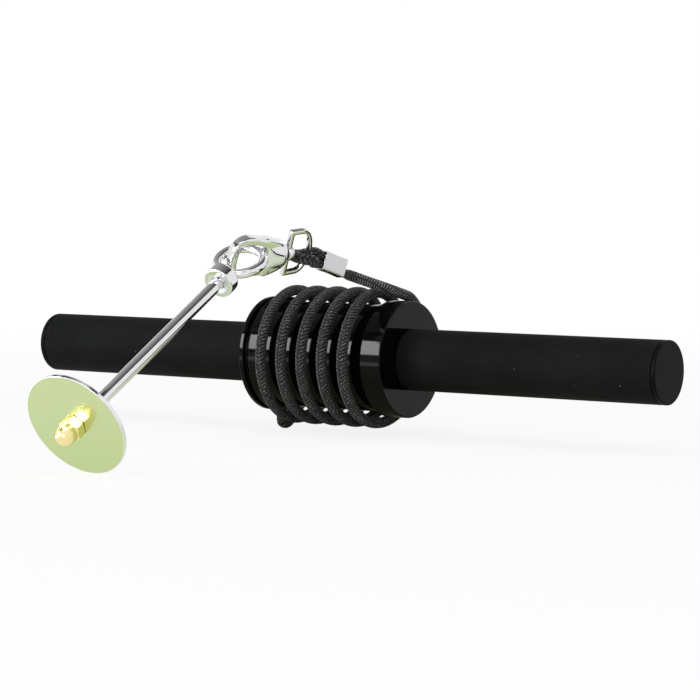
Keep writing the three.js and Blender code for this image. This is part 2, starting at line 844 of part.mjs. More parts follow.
const ringOuterRadius = (eyeRingDiameter + eyeRingWire) / 2;
const bossEndX = ringOuterRadius - cutOverrun + nutBossLength;
const ringCentre = linkPoint(hookMatrix, hookMouthX - hookMouthLength / 2 + ringOuterRadius + ringPlay, 0, 0);
const rodMatrix = linkMatrix(ringCentre, rodPose);
const discX = rodReach;

function eyeNut() {
  const ring = new THREE.TorusGeometry(eyeRingDiameter / 2, eyeRingWire / 2, 12, 44);
  ring.rotateX(Math.PI / 2);
  const bossStart = bossEndX - nutBossLength;
  const boss = revolve([
    [bossStart - nutNeckLength / 2, 0],
    [bossStart - nutNeckLength / 2, nutNeckDiameter / 2],
    [bossStart + nutNeckLength / 2, nutBossDiameter / 2 - edgeChamfer],
    [bossStart + nutNeckLength, nutBossDiameter / 2],
    [bossEndX - edgeChamfer, nutBossDiameter / 2],
    [bossEndX, nutBossDiameter / 2 - edgeChamfer],
    [bossEndX, 0],
  ], 32);
  const opening = roundBar(-ringOuterRadius, ringOuterRadius, (eyeRingDiameter - eyeRingWire) / 2, 44);
  opening.rotateZ(Math.PI / 2);
  const thread = roundBar(bossEndX - rodEmbed - fitGap, bossEndX + cutOverrun, rodDiameter / 2 + fitGap, rodSides);
  return cut(join(ring, cut(boss, opening)), thread);
}

function plateRod() {
  const start = bossEndX - rodEmbed;
  const end = discX + discThickness / 2 + domeNutThreadDepth - fitGap;
  const radius = rodDiameter / 2;
  return revolve([
    [start, 0],
    [start, radius - edgeChamfer],
    [start + edgeChamfer, radius],
    [end - edgeChamfer, radius],
    [end, radius - edgeChamfer],
    [end, 0],
  ], rodSides);
}

function plateDisc() {
  const near = discX - discThickness / 2;
  const far = discX + discThickness / 2;
  const rim = discDiameter / 2;
  const bore = rodDiameter / 2 + fitGap;
  return revolve([
    [near, bore],
    [near, weightPlateBore / 2],
    [near, rim - discChamfer],
    [near + discChamfer, rim],
    [far - discChamfer, rim],
    [far, rim - discChamfer],
    [far, bore],
  ], 72);
}

// A hexagonal bar with its ends turned down to a round chamfer
function chamferedHex(startX, endX) {
  const corner = nutAcrossFlats / Math.sqrt(3) + fitGap;
  const turned = revolve([
    [startX, 0],
    [startX, corner - nutChamfer],
    [startX + nutChamfer / 2, corner],
    [endX - nutChamfer / 2, corner],
    [endX, corner - nutChamfer],
    [endX, 0],
  ], 48);
  return toGeometry(toSolid(hexBar(startX, endX, nutAcrossFlats)).intersect(toSolid(turned)));
}

function lockNut() {
  const end = discX - discThickness / 2 - fitGap;
  const start = end - lockNutHeight;
  const bore = roundBar(start - cutOverrun, end + cutOverrun, rodDiameter / 2 + fitGap, rodSides);
  return cut(chamferedHex(start, end), bore);
}

function domeNut() {
  const start = discX + discThickness / 2 + fitGap;
  const hexEnd = start + domeNutHexHeight;
  const neck = domeNeckDiameter / 2;
  const profile = [[hexEnd - nutChamfer, 0], [hexEnd - nutChamfer, neck]];
  const arcSteps = 6;
  for (let step = 0; step < arcSteps; step += 1) {
    const turn = step / arcSteps * Math.PI / 2;
    profile.push([hexEnd + domeHeight * Math.sin(turn), neck * Math.cos(turn)]);
  }
  profile.push([hexEnd + domeHeight, 0]);
  const bore = roundBar(start - cutOverrun, start + domeNutThreadDepth, rodDiameter / 2 + fitGap, rodSides);
  return cut(join(chamferedHex(start, hexEnd), revolve(profile, 36)), bore);
}

// Assembly

function placed(matrix, ...meshes) {
  const link = new THREE.Group();
  link.add(...meshes);
  link.applyMatrix4(matrix);
  return link;
}

const group = new THREE.Group();
group.add(
  piece('core_tube', coreTube(), tubeSteel),
  piece('left_grip', grip(-1), gripFoam),
  piece('right_grip', grip(1), gripFoam),
  piece('left_end_cap', endCap(-1), capPlastic),
  piece('right_end_cap', endCap(1), capPlastic),
  piece('drum', drum(), drumGloss),
  ...grubAngles.map((angle, index) => piece(`drum_screw_${index + 1}`, grubScrew(angle), tubeSteel)),
  piece('anchor_knot', anchorKnot(), cordBraid),
  piece('cord_winding', cordWinding(), cordBraid),
  piece('cord_lead', cordLead(), cordBraid),
  piece('cord_loop', cordLoop(), cordBraid),
);
group.add(placed(sleeveMatrix, piece('crimp_sleeve', crimpSleeve(), sleeveSteel)));
group.add(placed(eyeMatrix, piece('swivel_eye', swivelEye(), chrome)));
group.add(placed(
  hookMatrix,
  piece('swivel_rivet', swivelRivet(), chrome),
  piece('hook_body', hook(), chrome),
  piece('hook_gate', hookGate(), chrome),
  piece('gate_pin', gatePin(), tubeSteel),
  piece('gate_spring', gateSpring(), tubeSteel),
));
group.add(placed(
  rodMatrix,
  piece('eye_nut', eyeNut(), chrome),
  piece('plate_rod', plateRod(), chrome),
  piece('lock_nut', lockNut(), tubeSteel),
  piece('plate_disc', plateDisc(), paleZinc),
  piece('dome_nut', domeNut(), brass),
));

export default group;
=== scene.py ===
"""Wrist roller, dressed: a bar with two foam grips, a glossy drum, a braided cord wound on it, and the
chain of fittings on the cord's end.

Metres, +Z up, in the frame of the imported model. Every piece is a surface worked out from the sizes in
the sidebar panel "Wrist Roller", and rides on the body of the node that it replaces.
"""

import json

import bpy
import numpy as np
from bpy.props import FloatProperty, FloatVectorProperty, PointerProperty
from mathutils import Matrix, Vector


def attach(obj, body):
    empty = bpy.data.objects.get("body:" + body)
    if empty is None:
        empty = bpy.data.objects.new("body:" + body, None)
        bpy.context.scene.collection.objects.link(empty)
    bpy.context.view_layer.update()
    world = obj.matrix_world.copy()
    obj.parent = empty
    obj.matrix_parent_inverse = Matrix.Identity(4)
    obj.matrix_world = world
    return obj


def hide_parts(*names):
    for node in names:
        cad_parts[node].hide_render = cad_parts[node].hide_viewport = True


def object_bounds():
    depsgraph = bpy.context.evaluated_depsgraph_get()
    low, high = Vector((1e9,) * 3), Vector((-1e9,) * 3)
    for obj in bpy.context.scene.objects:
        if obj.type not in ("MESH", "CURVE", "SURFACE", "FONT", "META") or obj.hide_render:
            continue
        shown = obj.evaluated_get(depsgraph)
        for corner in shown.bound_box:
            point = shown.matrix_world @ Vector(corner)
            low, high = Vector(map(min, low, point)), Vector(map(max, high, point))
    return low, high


bl_info = {
    "name": "Wrist Roller",
    "version": (1, 0, 0),
    "blender": (4, 5, 0),
    "location": "3D View > Sidebar > Wrist Roller",
    "description": "Builds the foam grips, the drum, the braided cord and the hook with its rod",
    "category": "Add Mesh",
}

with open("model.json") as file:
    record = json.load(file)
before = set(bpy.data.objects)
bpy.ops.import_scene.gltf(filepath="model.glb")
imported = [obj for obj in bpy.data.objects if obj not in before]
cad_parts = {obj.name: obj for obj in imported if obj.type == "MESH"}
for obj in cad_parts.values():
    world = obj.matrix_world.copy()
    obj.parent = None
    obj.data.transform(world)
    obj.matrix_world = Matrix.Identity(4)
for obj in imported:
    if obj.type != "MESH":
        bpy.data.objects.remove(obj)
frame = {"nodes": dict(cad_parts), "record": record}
CAD_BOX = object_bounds()
SLOT_COLOURS = {m["slot"]: tuple(m["base_color"][:3]) for m in frame["record"]["materials"]}
FLOOR_HEIGHT = CAD_BOX[0][2]


# Sizes and colours

def length(name, description, default):
    """A size in metres for the sidebar."""
    return FloatProperty(name=name, description=description, default=default, unit="LENGTH", precision=5)


def colour(name, description, default):
    """A colour for the sidebar."""
    return FloatVectorProperty(
        name=name, description=description, default=default, subtype="COLOR", size=3, min=0.0, max=1.0
    )


class BarSizes(bpy.types.PropertyGroup):
    """Sizes and colours of the bar, its grips and its caps"""
    bar_length: length("Bar length", "From the outer face of one cap to the other", 0.483)
    grip_diameter: length("Grip diameter", "Across the foam grips", 0.040)
    grip_edge: length("Grip edge", "Radius of the foam's edges", 0.0008)
    tube_diameter: length("Tube diameter", "Across the steel tube inside the grips", 0.025)
    cap_thickness: length("Cap thickness", "Of the disc of each end cap", 0.003)
    cap_edge: length("Cap edge", "Radius of the end caps' edges", 0.0007)
    spigot_length: length("Spigot length", "Of the part of a cap inside the tube", 0.016)
    spigot_inset: length("Spigot inset", "From the tube's outside to a cap's spigot", 0.0023)
    fit_gap: length("Fit gap", "Clearance between neighbouring pieces", 0.0003)
    foam_colour: colour("Foam colour", "Of both grips", SLOT_COLOURS["grip_foam"])
    cap_colour: colour("Cap colour", "Of both end caps", SLOT_COLOURS["cap_plastic"])
    steel_colour: colour("Steel colour", "Of the tube, screws, pins and lock nut", SLOT_COLOURS["tube_steel"])


class DrumSizes(bpy.types.PropertyGroup):
    """Sizes and colour of the drum"""
    drum_length: length("Drum length", "Over both flanges", 0.111)
    core_diameter: length("Core diameter", "Of the drum between its flanges", 0.070)
    flange_diameter: length("Flange diameter", "Across each flange", 0.076)
    flange_width: length("Flange width", "Of each flange along the bar", 0.0155)
    groove_width: length("Groove width", "Of the groove round the left rim", 0.0037)
    groove_inset: length("Groove inset", "From the left face to the groove", 0.0036)
    groove_depth: length("Groove depth", "Of the groove round the left rim", 0.003)
    edge_radius: length("Edge radius", "Of the drum's edges", 0.0009)
    gloss_colour: colour("Gloss colour", "Of the drum", SLOT_COLOURS["drum_gloss"])


class CordSizes(bpy.types.PropertyGroup):
    """Sizes and colours of the cord, its winding and its braid"""
    cord_diameter: length("Cord diameter", "Of the round braid", 0.007)
    winding_radius: length("Winding radius", "From the bar's axis to the cord's middle", 0.0426)
    winding_pitch: length("Winding pitch", "From one turn to the next", 0.016)
    first_turn: length("First turn", "Where the first turn crosses the drum's top, along the bar", -0.0355)
    lead_length: length("Lead length", "Of the straight free cord before the sleeve", 0.0615)
    free_length: length("Free length", "Of the lead and the loop", 0.15)
    strand_width: length("Strand width", "Of the cord pressed in the sleeve", 0.0046)
    strand_depth: length("Strand depth", "Of the cord pressed in the sleeve, away from the viewer", 0.0062)
    braid_length: length("Braid length", "Along the cord from one crossing to the next", 0.0023)
    braid_relief: length("Braid relief", "Height of the strands", 0.00032)
    braid_colour: colour("Braid colour", "Of the yarn", (0.005, 0.0052, 0.005))
    # This colour is painted glint: light ticks that stand in for the yarn's shine on the stitch tops.
    fleck_colour: colour("Fleck colour", "Of the light threads in the yarn", (0.62, 0.625, 0.6))


class ChainSizes(bpy.types.PropertyGroup):
    """Sizes and colours of the sleeve, the eye and the hook"""
    sleeve_length: length("Sleeve length", "Of the crimp sleeve", 0.017)
    sleeve_width: length("Sleeve width", "Across both strands", 0.0124)
    sleeve_depth: length("Sleeve depth", "Away from the viewer", 0.0088)
    sleeve_wall: length("Sleeve wall", "Thickness of the sleeve's metal", 0.0009)
    eye_width: length("Eye width", "Of the D shaped eye along its bar", 0.0335)
    eye_depth: length("Eye depth", "From the bar to the top of the bow", 0.019)
    strip_thickness: length("Strip thickness", "Of the eye's metal in its plane", 0.003)
    strip_width: length("Strip width", "Of the eye's metal across its plane", 0.0036)
    hook_length: length("Hook length", "From the eye's bar to the hook's far side", 0.044)
    hook_height: length("Hook height", "Across the hook", 0.029)
    hook_axis_height: length("Hook axis height", "From the hook's lower side to its axis", 0.0126)
    hook_end_diameter: length("Hook end diameter", "Of the round end at the swivel", 0.016)
    hook_body_depth: length("Hook body depth", "Over the cheeks", 0.0074)
    hook_arm_depth: length("Hook arm depth", "Over the arm", 0.0068)
    gate_length: length("Gate length", "From its pin to its tip", 0.0206)
    gate_width: length("Gate width", "Of the gate's blade", 0.0048)
    metal_colour: colour("Metal colour", "Of the eye, the hook and the rod", SLOT_COLOURS["bright_chrome"])
    sleeve_colour: colour("Sleeve colour", "Of the crimp sleeve", SLOT_COLOURS["sleeve_metal"])


class RodSizes(bpy.types.PropertyGroup):
    """Sizes and colours of the eye nut, the rod, the disc and its nuts"""
    ring_diameter: length("Ring diameter", "Of the eye nut's ring, on the middle of its wire", 0.029)
    ring_wire: length("Ring wire", "Thickness of the eye nut's ring", 0.006)
    boss_diameter: length("Boss diameter", "Of the eye nut's round foot", 0.020)
    boss_length: length("Boss length", "Of the eye nut's round foot", 0.0114)
    rod_diameter: length("Rod diameter", "Of the straight rod", 0.008)
    rod_reach: length("Rod reach", "From the ring's middle to the disc's middle", 0.1815)
    disc_diameter: length("Disc diameter", "Of the disc that carries the plates", 0.0664)
    disc_thickness: length("Disc thickness", "Of the disc that carries the plates", 0.0025)
    nut_across_flats: length("Nut across flats", "Of both nuts", 0.013)
    lock_nut_height: length("Lock nut height", "Of the nut behind the disc", 0.0065)
    hex_length: length("Hex length", "Of the dome nut's hexagon", 0.0066)
    dome_length: length("Dome length", "Of the round end of the dome nut", 0.0094)
    thread_depth: length("Thread depth", "Of the dome nut's hole", 0.0104)
    # The disc colour is a painted reflection: its pale green stands in for a green surround that the bright
    # disc mirrors.
    disc_colour: colour("Disc colour", "Of the disc", (0.6, 0.695, 0.363))
    brass_colour: colour("Brass colour", "Of the dome nut", (0.93, 0.79, 0.38))


class StageLook(bpy.types.PropertyGroup):
    """Floor, light and camera"""
    floor_colour: colour("Floor colour", "Of the plain floor", (0.9, 0.9, 0.9))
    mirrored_colour: colour(
        "Mirrored colour", "Of the floor close by, as bright metal mirrors it", (0.6, 0.7, 0.36)
    )
    sky_strength: FloatProperty(name="Sky strength", description="Of the even light all round", default=0.6)
    camera_lens: FloatProperty(
        name="Camera lens", description="Focal length of the camera", default=133.73,
        subtype="DISTANCE_CAMERA",
    )


# Surfaces

def placed(*parts):
    """Points from their coordinates, which are stretched to one shape."""
    return np.stack(np.broadcast_arrays(*parts), axis=-1)


def whole_turn(count):
    """Even angles of a whole turn, without its end."""
    return np.linspace(0, 2 * np.pi, count, endpoint=False)


def unit(vectors):
    """Vectors divided by their lengths."""
    return vectors / np.linalg.norm(vectors, axis=-1, keepdims=True)


def smoothstep(low, high, value):
    """Share k from low to high, eased as 3 k squared less 2 k cubed."""
    k = np.clip((value - low) / (high - low), 0, 1)
    return k * k * (3 - 2 * k)


def signed_power(value, power):
    """The value's size to a power, with the value's sign: below 1 it makes a circle squarer."""
    return np.sign(value) * np.abs(value) ** power


def closed_grid(points, wrap_rows=False):
    """Shell of a grid of points whose columns go round: four-sided faces between neighbouring points, and
    a fan from the middle of the first and of the last row, unless the rows go round as well."""
    rows, columns = points.shape[:2]
    index = np.arange(rows * columns).reshape(rows, columns)
    following = np.roll(index, -1, axis=0) if wrap_rows else index[1:]
    here = index if wrap_rows else index[:-1]
    quads = np.stack([here, np.roll(here, -1, 1), np.roll(following, -1, 1), following], axis=-1)
    vertices = points.reshape(-1, 3)
    fans = np.zeros((0, 3), int)
    if not wrap_rows:
        first, last = index[0], index[-1]
        fans = np.concatenate([
            placed(rows * columns, np.roll(first, -1), first),
            placed(rows * columns + 1, last, np.roll(last, -1)),
        ])
        vertices = np.concatenate([vertices, points[[0, -1]].mean(axis=1)])
    return outward(vertices, quads.reshape(-1, 4), fans)


def outward(vertices, quads, fans):
    """The shell with its faces turned so that the volume inside, a sixth of the sum of the triple products
    of its triangles' corners, is above zero."""
    triangles = np.concatenate([quads[:, [0, 1, 2]], quads[:, [0, 2, 3]], fans])
    a, b, c = (vertices[triangles[:, k]] for k in range(3))
    if np.einsum("ij,ij->", a, np.cross(b, c)) < 0:
        quads, fans = quads[:, ::-1], fans[:, ::-1]
    return vertices, quads, fans


def smooth_shaded(mesh, crease):
    """Shades a mesh smooth, except at edges sharper than the crease in degrees."""
    mesh.polygons.foreach_set("use_smooth", np.ones(len(mesh.polygons), bool))
    mesh.set_sharp_from_angle(angle=float(np.radians(crease)))


def make_object(name, shells, crease=35.0):
    """One object from closed shells, each of points, four-sided faces and three-sided faces."""
    vertices, faces, start = [], [], 0
    for points, quads, fans in shells:
        vertices.append(points)
        faces += (quads + start).tolist() + (fans + start).tolist()
        start += len(points)
    mesh = bpy.data.meshes.new(name)
    mesh.from_pydata(np.concatenate(vertices), [], faces)
    smooth_shaded(mesh, crease)
    piece = bpy.data.objects.new(name, mesh)
    bpy.context.scene.collection.objects.link(piece)
    return piece


def combined(piece, other, operation, crease=35.0):
    """The first object with the second one joined to it or cut from it; the second one goes."""
    modifier = piece.modifiers.new("combine", "BOOLEAN")
    modifier.operation = operation
    modifier.object = other
    modifier.solver = "EXACT"
    modifier.use_self = True
    bpy.context.view_layer.update()
    mesh = bpy.data.meshes.new_from_object(piece.evaluated_get(bpy.context.evaluated_depsgraph_get()))
    smooth_shaded(mesh, crease)
    mesh.name = piece.name
    piece.modifiers.clear()
    piece.data = mesh
    bpy.data.objects.remove(other)
    return piece


def rounded(corners, radius, steps=5):
    """Profile through the corners where each inner corner becomes a quadratic curve that starts and ends
    the radius away from it, or two fifths of the shorter side, with one more point just outside each end."""
    corners = np.asarray(corners, float)
    before, middle, after = corners[:-2], corners[1:-1], corners[2:]
    to_before = np.linalg.norm(before - middle, axis=1, keepdims=True)
    to_after = np.linalg.norm(after - middle, axis=1, keepdims=True)
    reach = np.minimum(radius, 0.4 * np.minimum(to_before, to_after))
    arm_before = (before - middle) / to_before * reach
    arm_after = (after - middle) / to_after * reach
    k = np.linspace(0, 1, steps + 1)[None, :, None]
    curve = middle[:, None] + arm_before[:, None] * (1 - k) ** 2 + arm_after[:, None] * k ** 2
    lead_in = (middle + arm_before * 1.2)[:, None]
    lead_out = (middle + arm_after * 1.2)[:, None]
    inner = np.concatenate([lead_in, curve, lead_out], axis=1).reshape(-1, 2)
    return np.concatenate([corners[:1], inner, corners[-1:]])


def turned(profile, sides, link=None, wrap=False):
    """Shell of a profile of (x, r) pairs turned round the X axis: (x, r sin a, r cos a). A profile that
    reaches the axis keeps a small gap from it, which a fan closes."""
    a = whole_turn(sides)
    x, r = np.asarray(profile)[:, 0, None], np.asarray(profile)[:, 1, None]
    return closed_grid(in_frame(link, placed(x, r * np.sin(a), r * np.cos(a))), wrap_rows=wrap)


def moved(points, x, turn):
    """Points made along +X, turned to point away from the bar at an angle round it, at x along it."""
    out, across, side = points[..., 0], points[..., 1], points[..., 2]
    c, s = np.cos(turn), np.sin(turn)
    return placed(x + across, -out * s + side * c, out * c + side * s)


def link_frame(origin, heading, pitch, roll):
    """Frame of one link of the chain: x goes outward along it, y is its upper side and z points away from
    the viewer. The heading turns from -Y towards -X, and the pitch is up from level."""
    h, p, r = np.radians([heading, pitch, roll])
    out = np.array([-np.sin(h) * np.cos(p), -np.cos(h) * np.cos(p), np.sin(p)])
    level = np.array([np.cos(h), -np.sin(h), 0.0])
    side = np.cross(out, level) * np.cos(r) + level * np.sin(r)
    return np.asarray(origin, float), np.array([out, side, np.cross(out, side)])


def in_frame(link, points):
    """Points of a link's frame as places in the model; without a link they stay."""
    points = np.asarray(points, float)
    return points if link is None else link[0] + points @ link[1]


def smooth_route(guides, spacing):
    """Even steps along the cubic curve through the guides whose direction at each guide is the one of the
    parabola through it and its two neighbours, over the lengths between them."""
    guides = np.asarray(guides, float)
    spans = np.linalg.norm(np.diff(guides, axis=0), axis=1)
    slopes = np.diff(guides, axis=0) / spans[:, None]
    both = (spans[1:] + spans[:-1])[:, None]
    inner = (slopes[:-1] * spans[1:, None] + slopes[1:] * spans[:-1, None]) / both
    tangents = np.concatenate([slopes[:1], inner, slopes[-1:]])
    k = np.linspace(0, 1, 24, endpoint=False)[None, :, None]
    p0, p1 = guides[:-1, None], guides[1:, None]
    t0, t1 = tangents[:-1, None] * spans[:, None, None], tangents[1:, None] * spans[:, None, None]
    fine = (
        (2 * k ** 3 - 3 * k ** 2 + 1) * p0 + (k ** 3 - 2 * k ** 2 + k) * t0
        + (3 * k ** 2 - 2 * k ** 3) * p1 + (k ** 3 - k ** 2) * t1
    ).reshape(-1, 3)
    fine = np.concatenate([fine, guides[-1:]])
    along = np.concatenate([[0], np.cumsum(np.linalg.norm(np.diff(fine, axis=0), axis=1))])
    even = np.linspace(0, along[-1], int(round(along[-1] / spacing)) + 1)
    return placed(*(np.interp(even, along, fine[:, k]) for k in range(3)))


def ring_axes(route, reference):
    """Two directions across a route: the reference with its share along the tangent taken out, and the one
    square to it and to the tangent."""
    tangents = unit(np.gradient(route, axis=0))
    first = unit(reference - tangents * np.sum(reference * tangents, axis=-1, keepdims=True))
    return first, np.cross(tangents, first)


# Places of the cord and of the chain, one link on the end of the one before it. A pose is the heading,
# the pitch and the roll in degrees.

LEAVE_ANGLE = np.radians(5 * 360 - 17)
JOIN_ANGLE = np.radians(-160)
BACK_LEAN_SHARE = 1.1
ANCHOR_X = -0.0441
ANCHOR_ANGLE = np.radians(174)
ANCHOR_POCKET_REACH = 0.0284
ANCHOR_BEND_DEPTH = 0.0472
STRAND_OFFSET = 0.0026
SLEEVE_POSE = (22.7, 19.7, -3)
EYE_POSE = (21.6, -7.2, 32)
HOOK_POSE = (21.6, -7.2, 26)
ROD_POSE = (0, -29, 12)
LEAD_POSE = (12, 16, 0)
LOOP_POSE = (21.8, 8.7, 0)
TURN_POSE = (21.6, 4, 12)
LOOP_REACH = 0.0122
LOOP_CLEARANCE = 0.0018
BEND_ANGLES = np.radians([176, 180.5, 185.5, 190.5, 195.5])
BEND_REACHES = np.array([0.965, 0.995, 1, 0.982, 0.938]) * ANCHOR_BEND_DEPTH
GUIDES_PER_TURN = 24
SPREAD_SHARE = 1.35
PRESSED_SHARE = 0.85
BOW_SLIDE = 0.0064
STRAIGHT_SHARE = 0.42
MOUTH = np.array([0.0275, 0.0019])
MOUTH_LENGTH = 0.0202
MOUTH_HEIGHT = 0.0216
GATE_PIVOT = np.array([0.0156, -0.009, 0])
CORD_SPACING = 0.00058


def round_bar(x, reach, turn):
    """Places at x along the bar and the reach from its axis, turned from its top over the front."""
    return placed(x, -reach * np.sin(turn), reach * np.cos(turn))


def winding_point(turn, sizes):
    """Place of the cord's middle: X grows by the pitch for each turn, most of it at the back."""
    x = sizes.first_turn + sizes.winding_pitch / (2 * np.pi) * (turn + BACK_LEAN_SHARE * (np.cos(turn) - 1))
    return round_bar(x, sizes.winding_radius, turn)


def chain_links(look):
    """Frames of the lead, the sleeve, the loop's turn, the eye, the hook and the rod."""
    cord, chain, rod, bar = look.cord, look.chain, look.rod, look.bar
    start = winding_point(LEAVE_ANGLE, cord)
    lead = link_frame(start, *LEAD_POSE)
    lead_end = start + lead[1][0] * cord.lead_length
    side = link_frame(lead_end, *SLEEVE_POSE)[1][1]
    sleeve = link_frame(lead_end + side * STRAND_OFFSET, *SLEEVE_POSE)
    loop = link_frame(in_frame(sleeve, [chain.sleeve_length, 0, 0]), *LOOP_POSE)
    crossing = in_frame(loop, [LOOP_REACH, 0, 0])
    half_strip = chain.strip_thickness / 2
    bow = np.sqrt(1 - (BOW_SLIDE / (chain.eye_width / 2 - half_strip)) ** 2)
    straight = chain.eye_depth * STRAIGHT_SHARE
    depth = straight + (chain.eye_depth - chain.strip_thickness - straight) * bow
    bar_middle = in_frame(link_frame(crossing, *EYE_POSE), [depth, BOW_SLIDE, 0])
    hook = link_frame(bar_middle, *HOOK_POSE)
    ring_outer = (rod.ring_diameter + rod.ring_wire) / 2
    ring_x = MOUTH[0] - MOUTH_LENGTH / 2 + ring_outer + bar.fit_gap
    return {
        "lead": lead,
        "sleeve": sleeve,
        "turn": link_frame(crossing, *TURN_POSE),
        "eye": link_frame(bar_middle, *EYE_POSE),
        "hook": hook,
        "rod": link_frame(in_frame(hook, [ring_x, 0, 0]), *ROD_POSE),
    }


def cord_route(look):
    """Middle line of the whole cord: out of the left flange, round the drum, straight to the sleeve, round
    the eye's bow and back beside itself."""
    cord, chain, gap = look.cord, look.chain, look.bar.fit_gap
    links = chain_links(look)
    width = cord.cord_diameter
    anchor = round_bar(ANCHOR_X, np.array([
        ANCHOR_POCKET_REACH, ANCHOR_POCKET_REACH + width, cord.winding_radius - gap
    ]), ANCHOR_ANGLE)
    bend_x = ANCHOR_X + (winding_point(JOIN_ANGLE, cord)[0] - ANCHOR_X) * np.arange(1, 6) / 6
    bend = round_bar(bend_x, BEND_REACHES, BEND_ANGLES)
    steps = int(round((LEAVE_ANGLE - JOIN_ANGLE) / (2 * np.pi) * GUIDES_PER_TURN))
    winding = winding_point(np.linspace(JOIN_ANGLE, LEAVE_ANGLE, steps + 1), cord)
    reaches = np.concatenate([
        [width / 2, width * 3 / 2], np.linspace(width * 3 / 2 + gap, cord.lead_length - width, 11)[1:]
    ])
    lead = links["lead"][0] + links["lead"][1][0] * reaches[:, None]
    apart = chain.strip_width / 2 + width / 2 + LOOP_CLEARANCE
    sweep = np.linspace(-np.pi / 2, np.pi / 2, 9)
    turn = in_frame(links["turn"], placed(gap + apart * np.cos(sweep), 0, apart * np.sin(sweep)))
    end, out = chain.sleeve_length, chain.sleeve_length + width / 2
    low_x = np.array([0, 0.004, 0.008, end * PRESSED_SHARE, end, out])
    high_x = np.array([out, end, end * PRESSED_SHARE, 0.0026, 0.002])
    apart_out = STRAND_OFFSET * SPREAD_SHARE
    low = in_frame(links["sleeve"], placed(low_x, np.where(low_x > end, -apart_out, -STRAND_OFFSET), 0))
    high = in_frame(links["sleeve"], placed(high_x, np.where(high_x > end, apart_out, STRAND_OFFSET), 0))
    return smooth_route(np.concatenate([anchor, bend, winding, lead, low, turn, high]), CORD_SPACING)


# Finishes

class Nodes:
    """The node tree of a material or a world, with short calls that add a node and link its inputs."""

    sockets = {"colour": "Base Color", "rough": "Roughness", "metal": "Metallic",
               "specular": "Specular IOR Level", "sheen": "Sheen Weight"}

    def __init__(self, owner):
        owner.use_nodes = True
        self.owner = owner
        self.tree = owner.node_tree

    def add(self, kind, inputs=(), **settings):
        """A new node with its settings made and its inputs put."""
        node = self.tree.nodes.new(kind)
        for key, value in settings.items():
            setattr(node, key, value)
        for key, value in dict(inputs).items():
            self.put(node.inputs[key], value)
        return node

    def put(self, socket, value):
        """Links another socket to this one, or sets its value; a colour gets its alpha."""
        if isinstance(value, bpy.types.NodeSocket):
            self.tree.links.new(value, socket)
        else:
            socket.default_value = (*value[:3], 1.0) if socket.type == "RGBA" else value

    def math(self, operation, *values):
        """Result of a sum on sockets or numbers."""
        return self.add("ShaderNodeMath", dict(enumerate(values)), operation=operation).outputs[0]

    def place(self):
        """The place on the piece, in metres."""
        return self.add("ShaderNodeTexCoord").outputs["Object"]

    def distance(self, centre):
        """How far the place is from a centre."""
        inputs = {0: self.place(), 1: tuple(centre)}
        return self.add("ShaderNodeVectorMath", inputs, operation="DISTANCE").outputs["Value"]

    def noise(self, scale, detail=2.0, stretch=None, vector=None, roughness=0.5):
        """Soft noise from 0 to 1, on the place or on another vector, stretched by a scale on each axis."""
        vector = self.place() if vector is None else vector
        if stretch is not None:
            vector = self.add("ShaderNodeMapping", {"Vector": vector, "Scale": stretch}).outputs[0]
        inputs = {"Vector": vector, "Scale": scale, "Detail": detail, "Roughness": roughness}
        return self.add("ShaderNodeTexNoise", inputs).outputs["Fac"]

    def cells(self, scale):
        """Distance from the middle of the nearest cell."""
        return self.add("ShaderNodeTexVoronoi", {"Vector": self.place(), "Scale": scale}).outputs["Distance"]

    def blend(self, share, first, second):
        """Mix of two colours, each of them a socket or three numbers."""
        return self.add("ShaderNodeMix", {0: share, 6: first, 7: second}, data_type="RGBA").outputs[2]

    def range(self, value, from_low, from_high, to_low, to_high):
        """The value carried from one range to another and held inside it."""
        inputs = {
            "Value": value, "From Min": from_low, "From Max": from_high, "To Min": to_low, "To Max": to_high,
        }
        return self.add("ShaderNodeMapRange", inputs).outputs[0]

    def bump(self, height, distance, strength=1.0):
        """Relief of the surface."""
        inputs = {"Height": height, "Distance": distance, "Strength": strength}
        normal = self.add("ShaderNodeBump", inputs).outputs[0]
        self.put(self.tree.nodes["Principled BSDF"].inputs["Normal"], normal)

    def finish(self, **values):
        """Puts the shader's own inputs and returns the material."""
        shader = self.tree.nodes["Principled BSDF"]
        for key, value in values.items():
            self.put(shader.inputs[self.sockets[key]], value)
        return self.owner

    def surface(self, shader):
        """Makes another shader the surface and returns the material."""
        self.put(self.tree.nodes["Material Output"].inputs["Surface"], shader.outputs[0])
        return self.owner


def scaled(values, share):
    """A colour times a share."""
    return tuple(float(v) * share for v in values)


def foam_finish(sizes):
    """Black foam: a fine open grain, soft lighter clouds and a few tiny light specks."""
    n = Nodes(bpy.data.materials.new("foam_grip_black"))
    grain, pores = n.noise(1600.0, 3.0), n.cells(900.0)
    clouds = n.range(n.noise(35.0, 4.0), 0.35, 0.7, 0.0, 1.0)
    base = n.blend(clouds, scaled(sizes.foam_colour, 0.6), scaled(sizes.foam_colour, 0.85))
    speck = n.math("LESS_THAN", n.cells(95.0), 0.028)
    n.bump(n.math("ADD", grain, pores), 0.00012, 0.5)
    specked = n.blend(speck, base, (0.3, 0.3, 0.28))
    return n.finish(colour=specked, rough=n.range(grain, 0.3, 0.7, 0.62, 0.8), specular=0.04)


def cap_finish(sizes):
    """Moulded matte plastic with a fine even grain."""
    n = Nodes(bpy.data.materials.new("moulded_cap_black"))
    grain = n.noise(2600.0, 2.0)
    base = n.blend(n.noise(60.0, 3.0), scaled(sizes.cap_colour, 0.2), scaled(sizes.cap_colour, 0.3))
    n.bump(grain, 0.00005, 0.35)
    return n.finish(colour=base, rough=n.range(grain, 0.3, 0.7, 0.42, 0.56), specular=0.04)


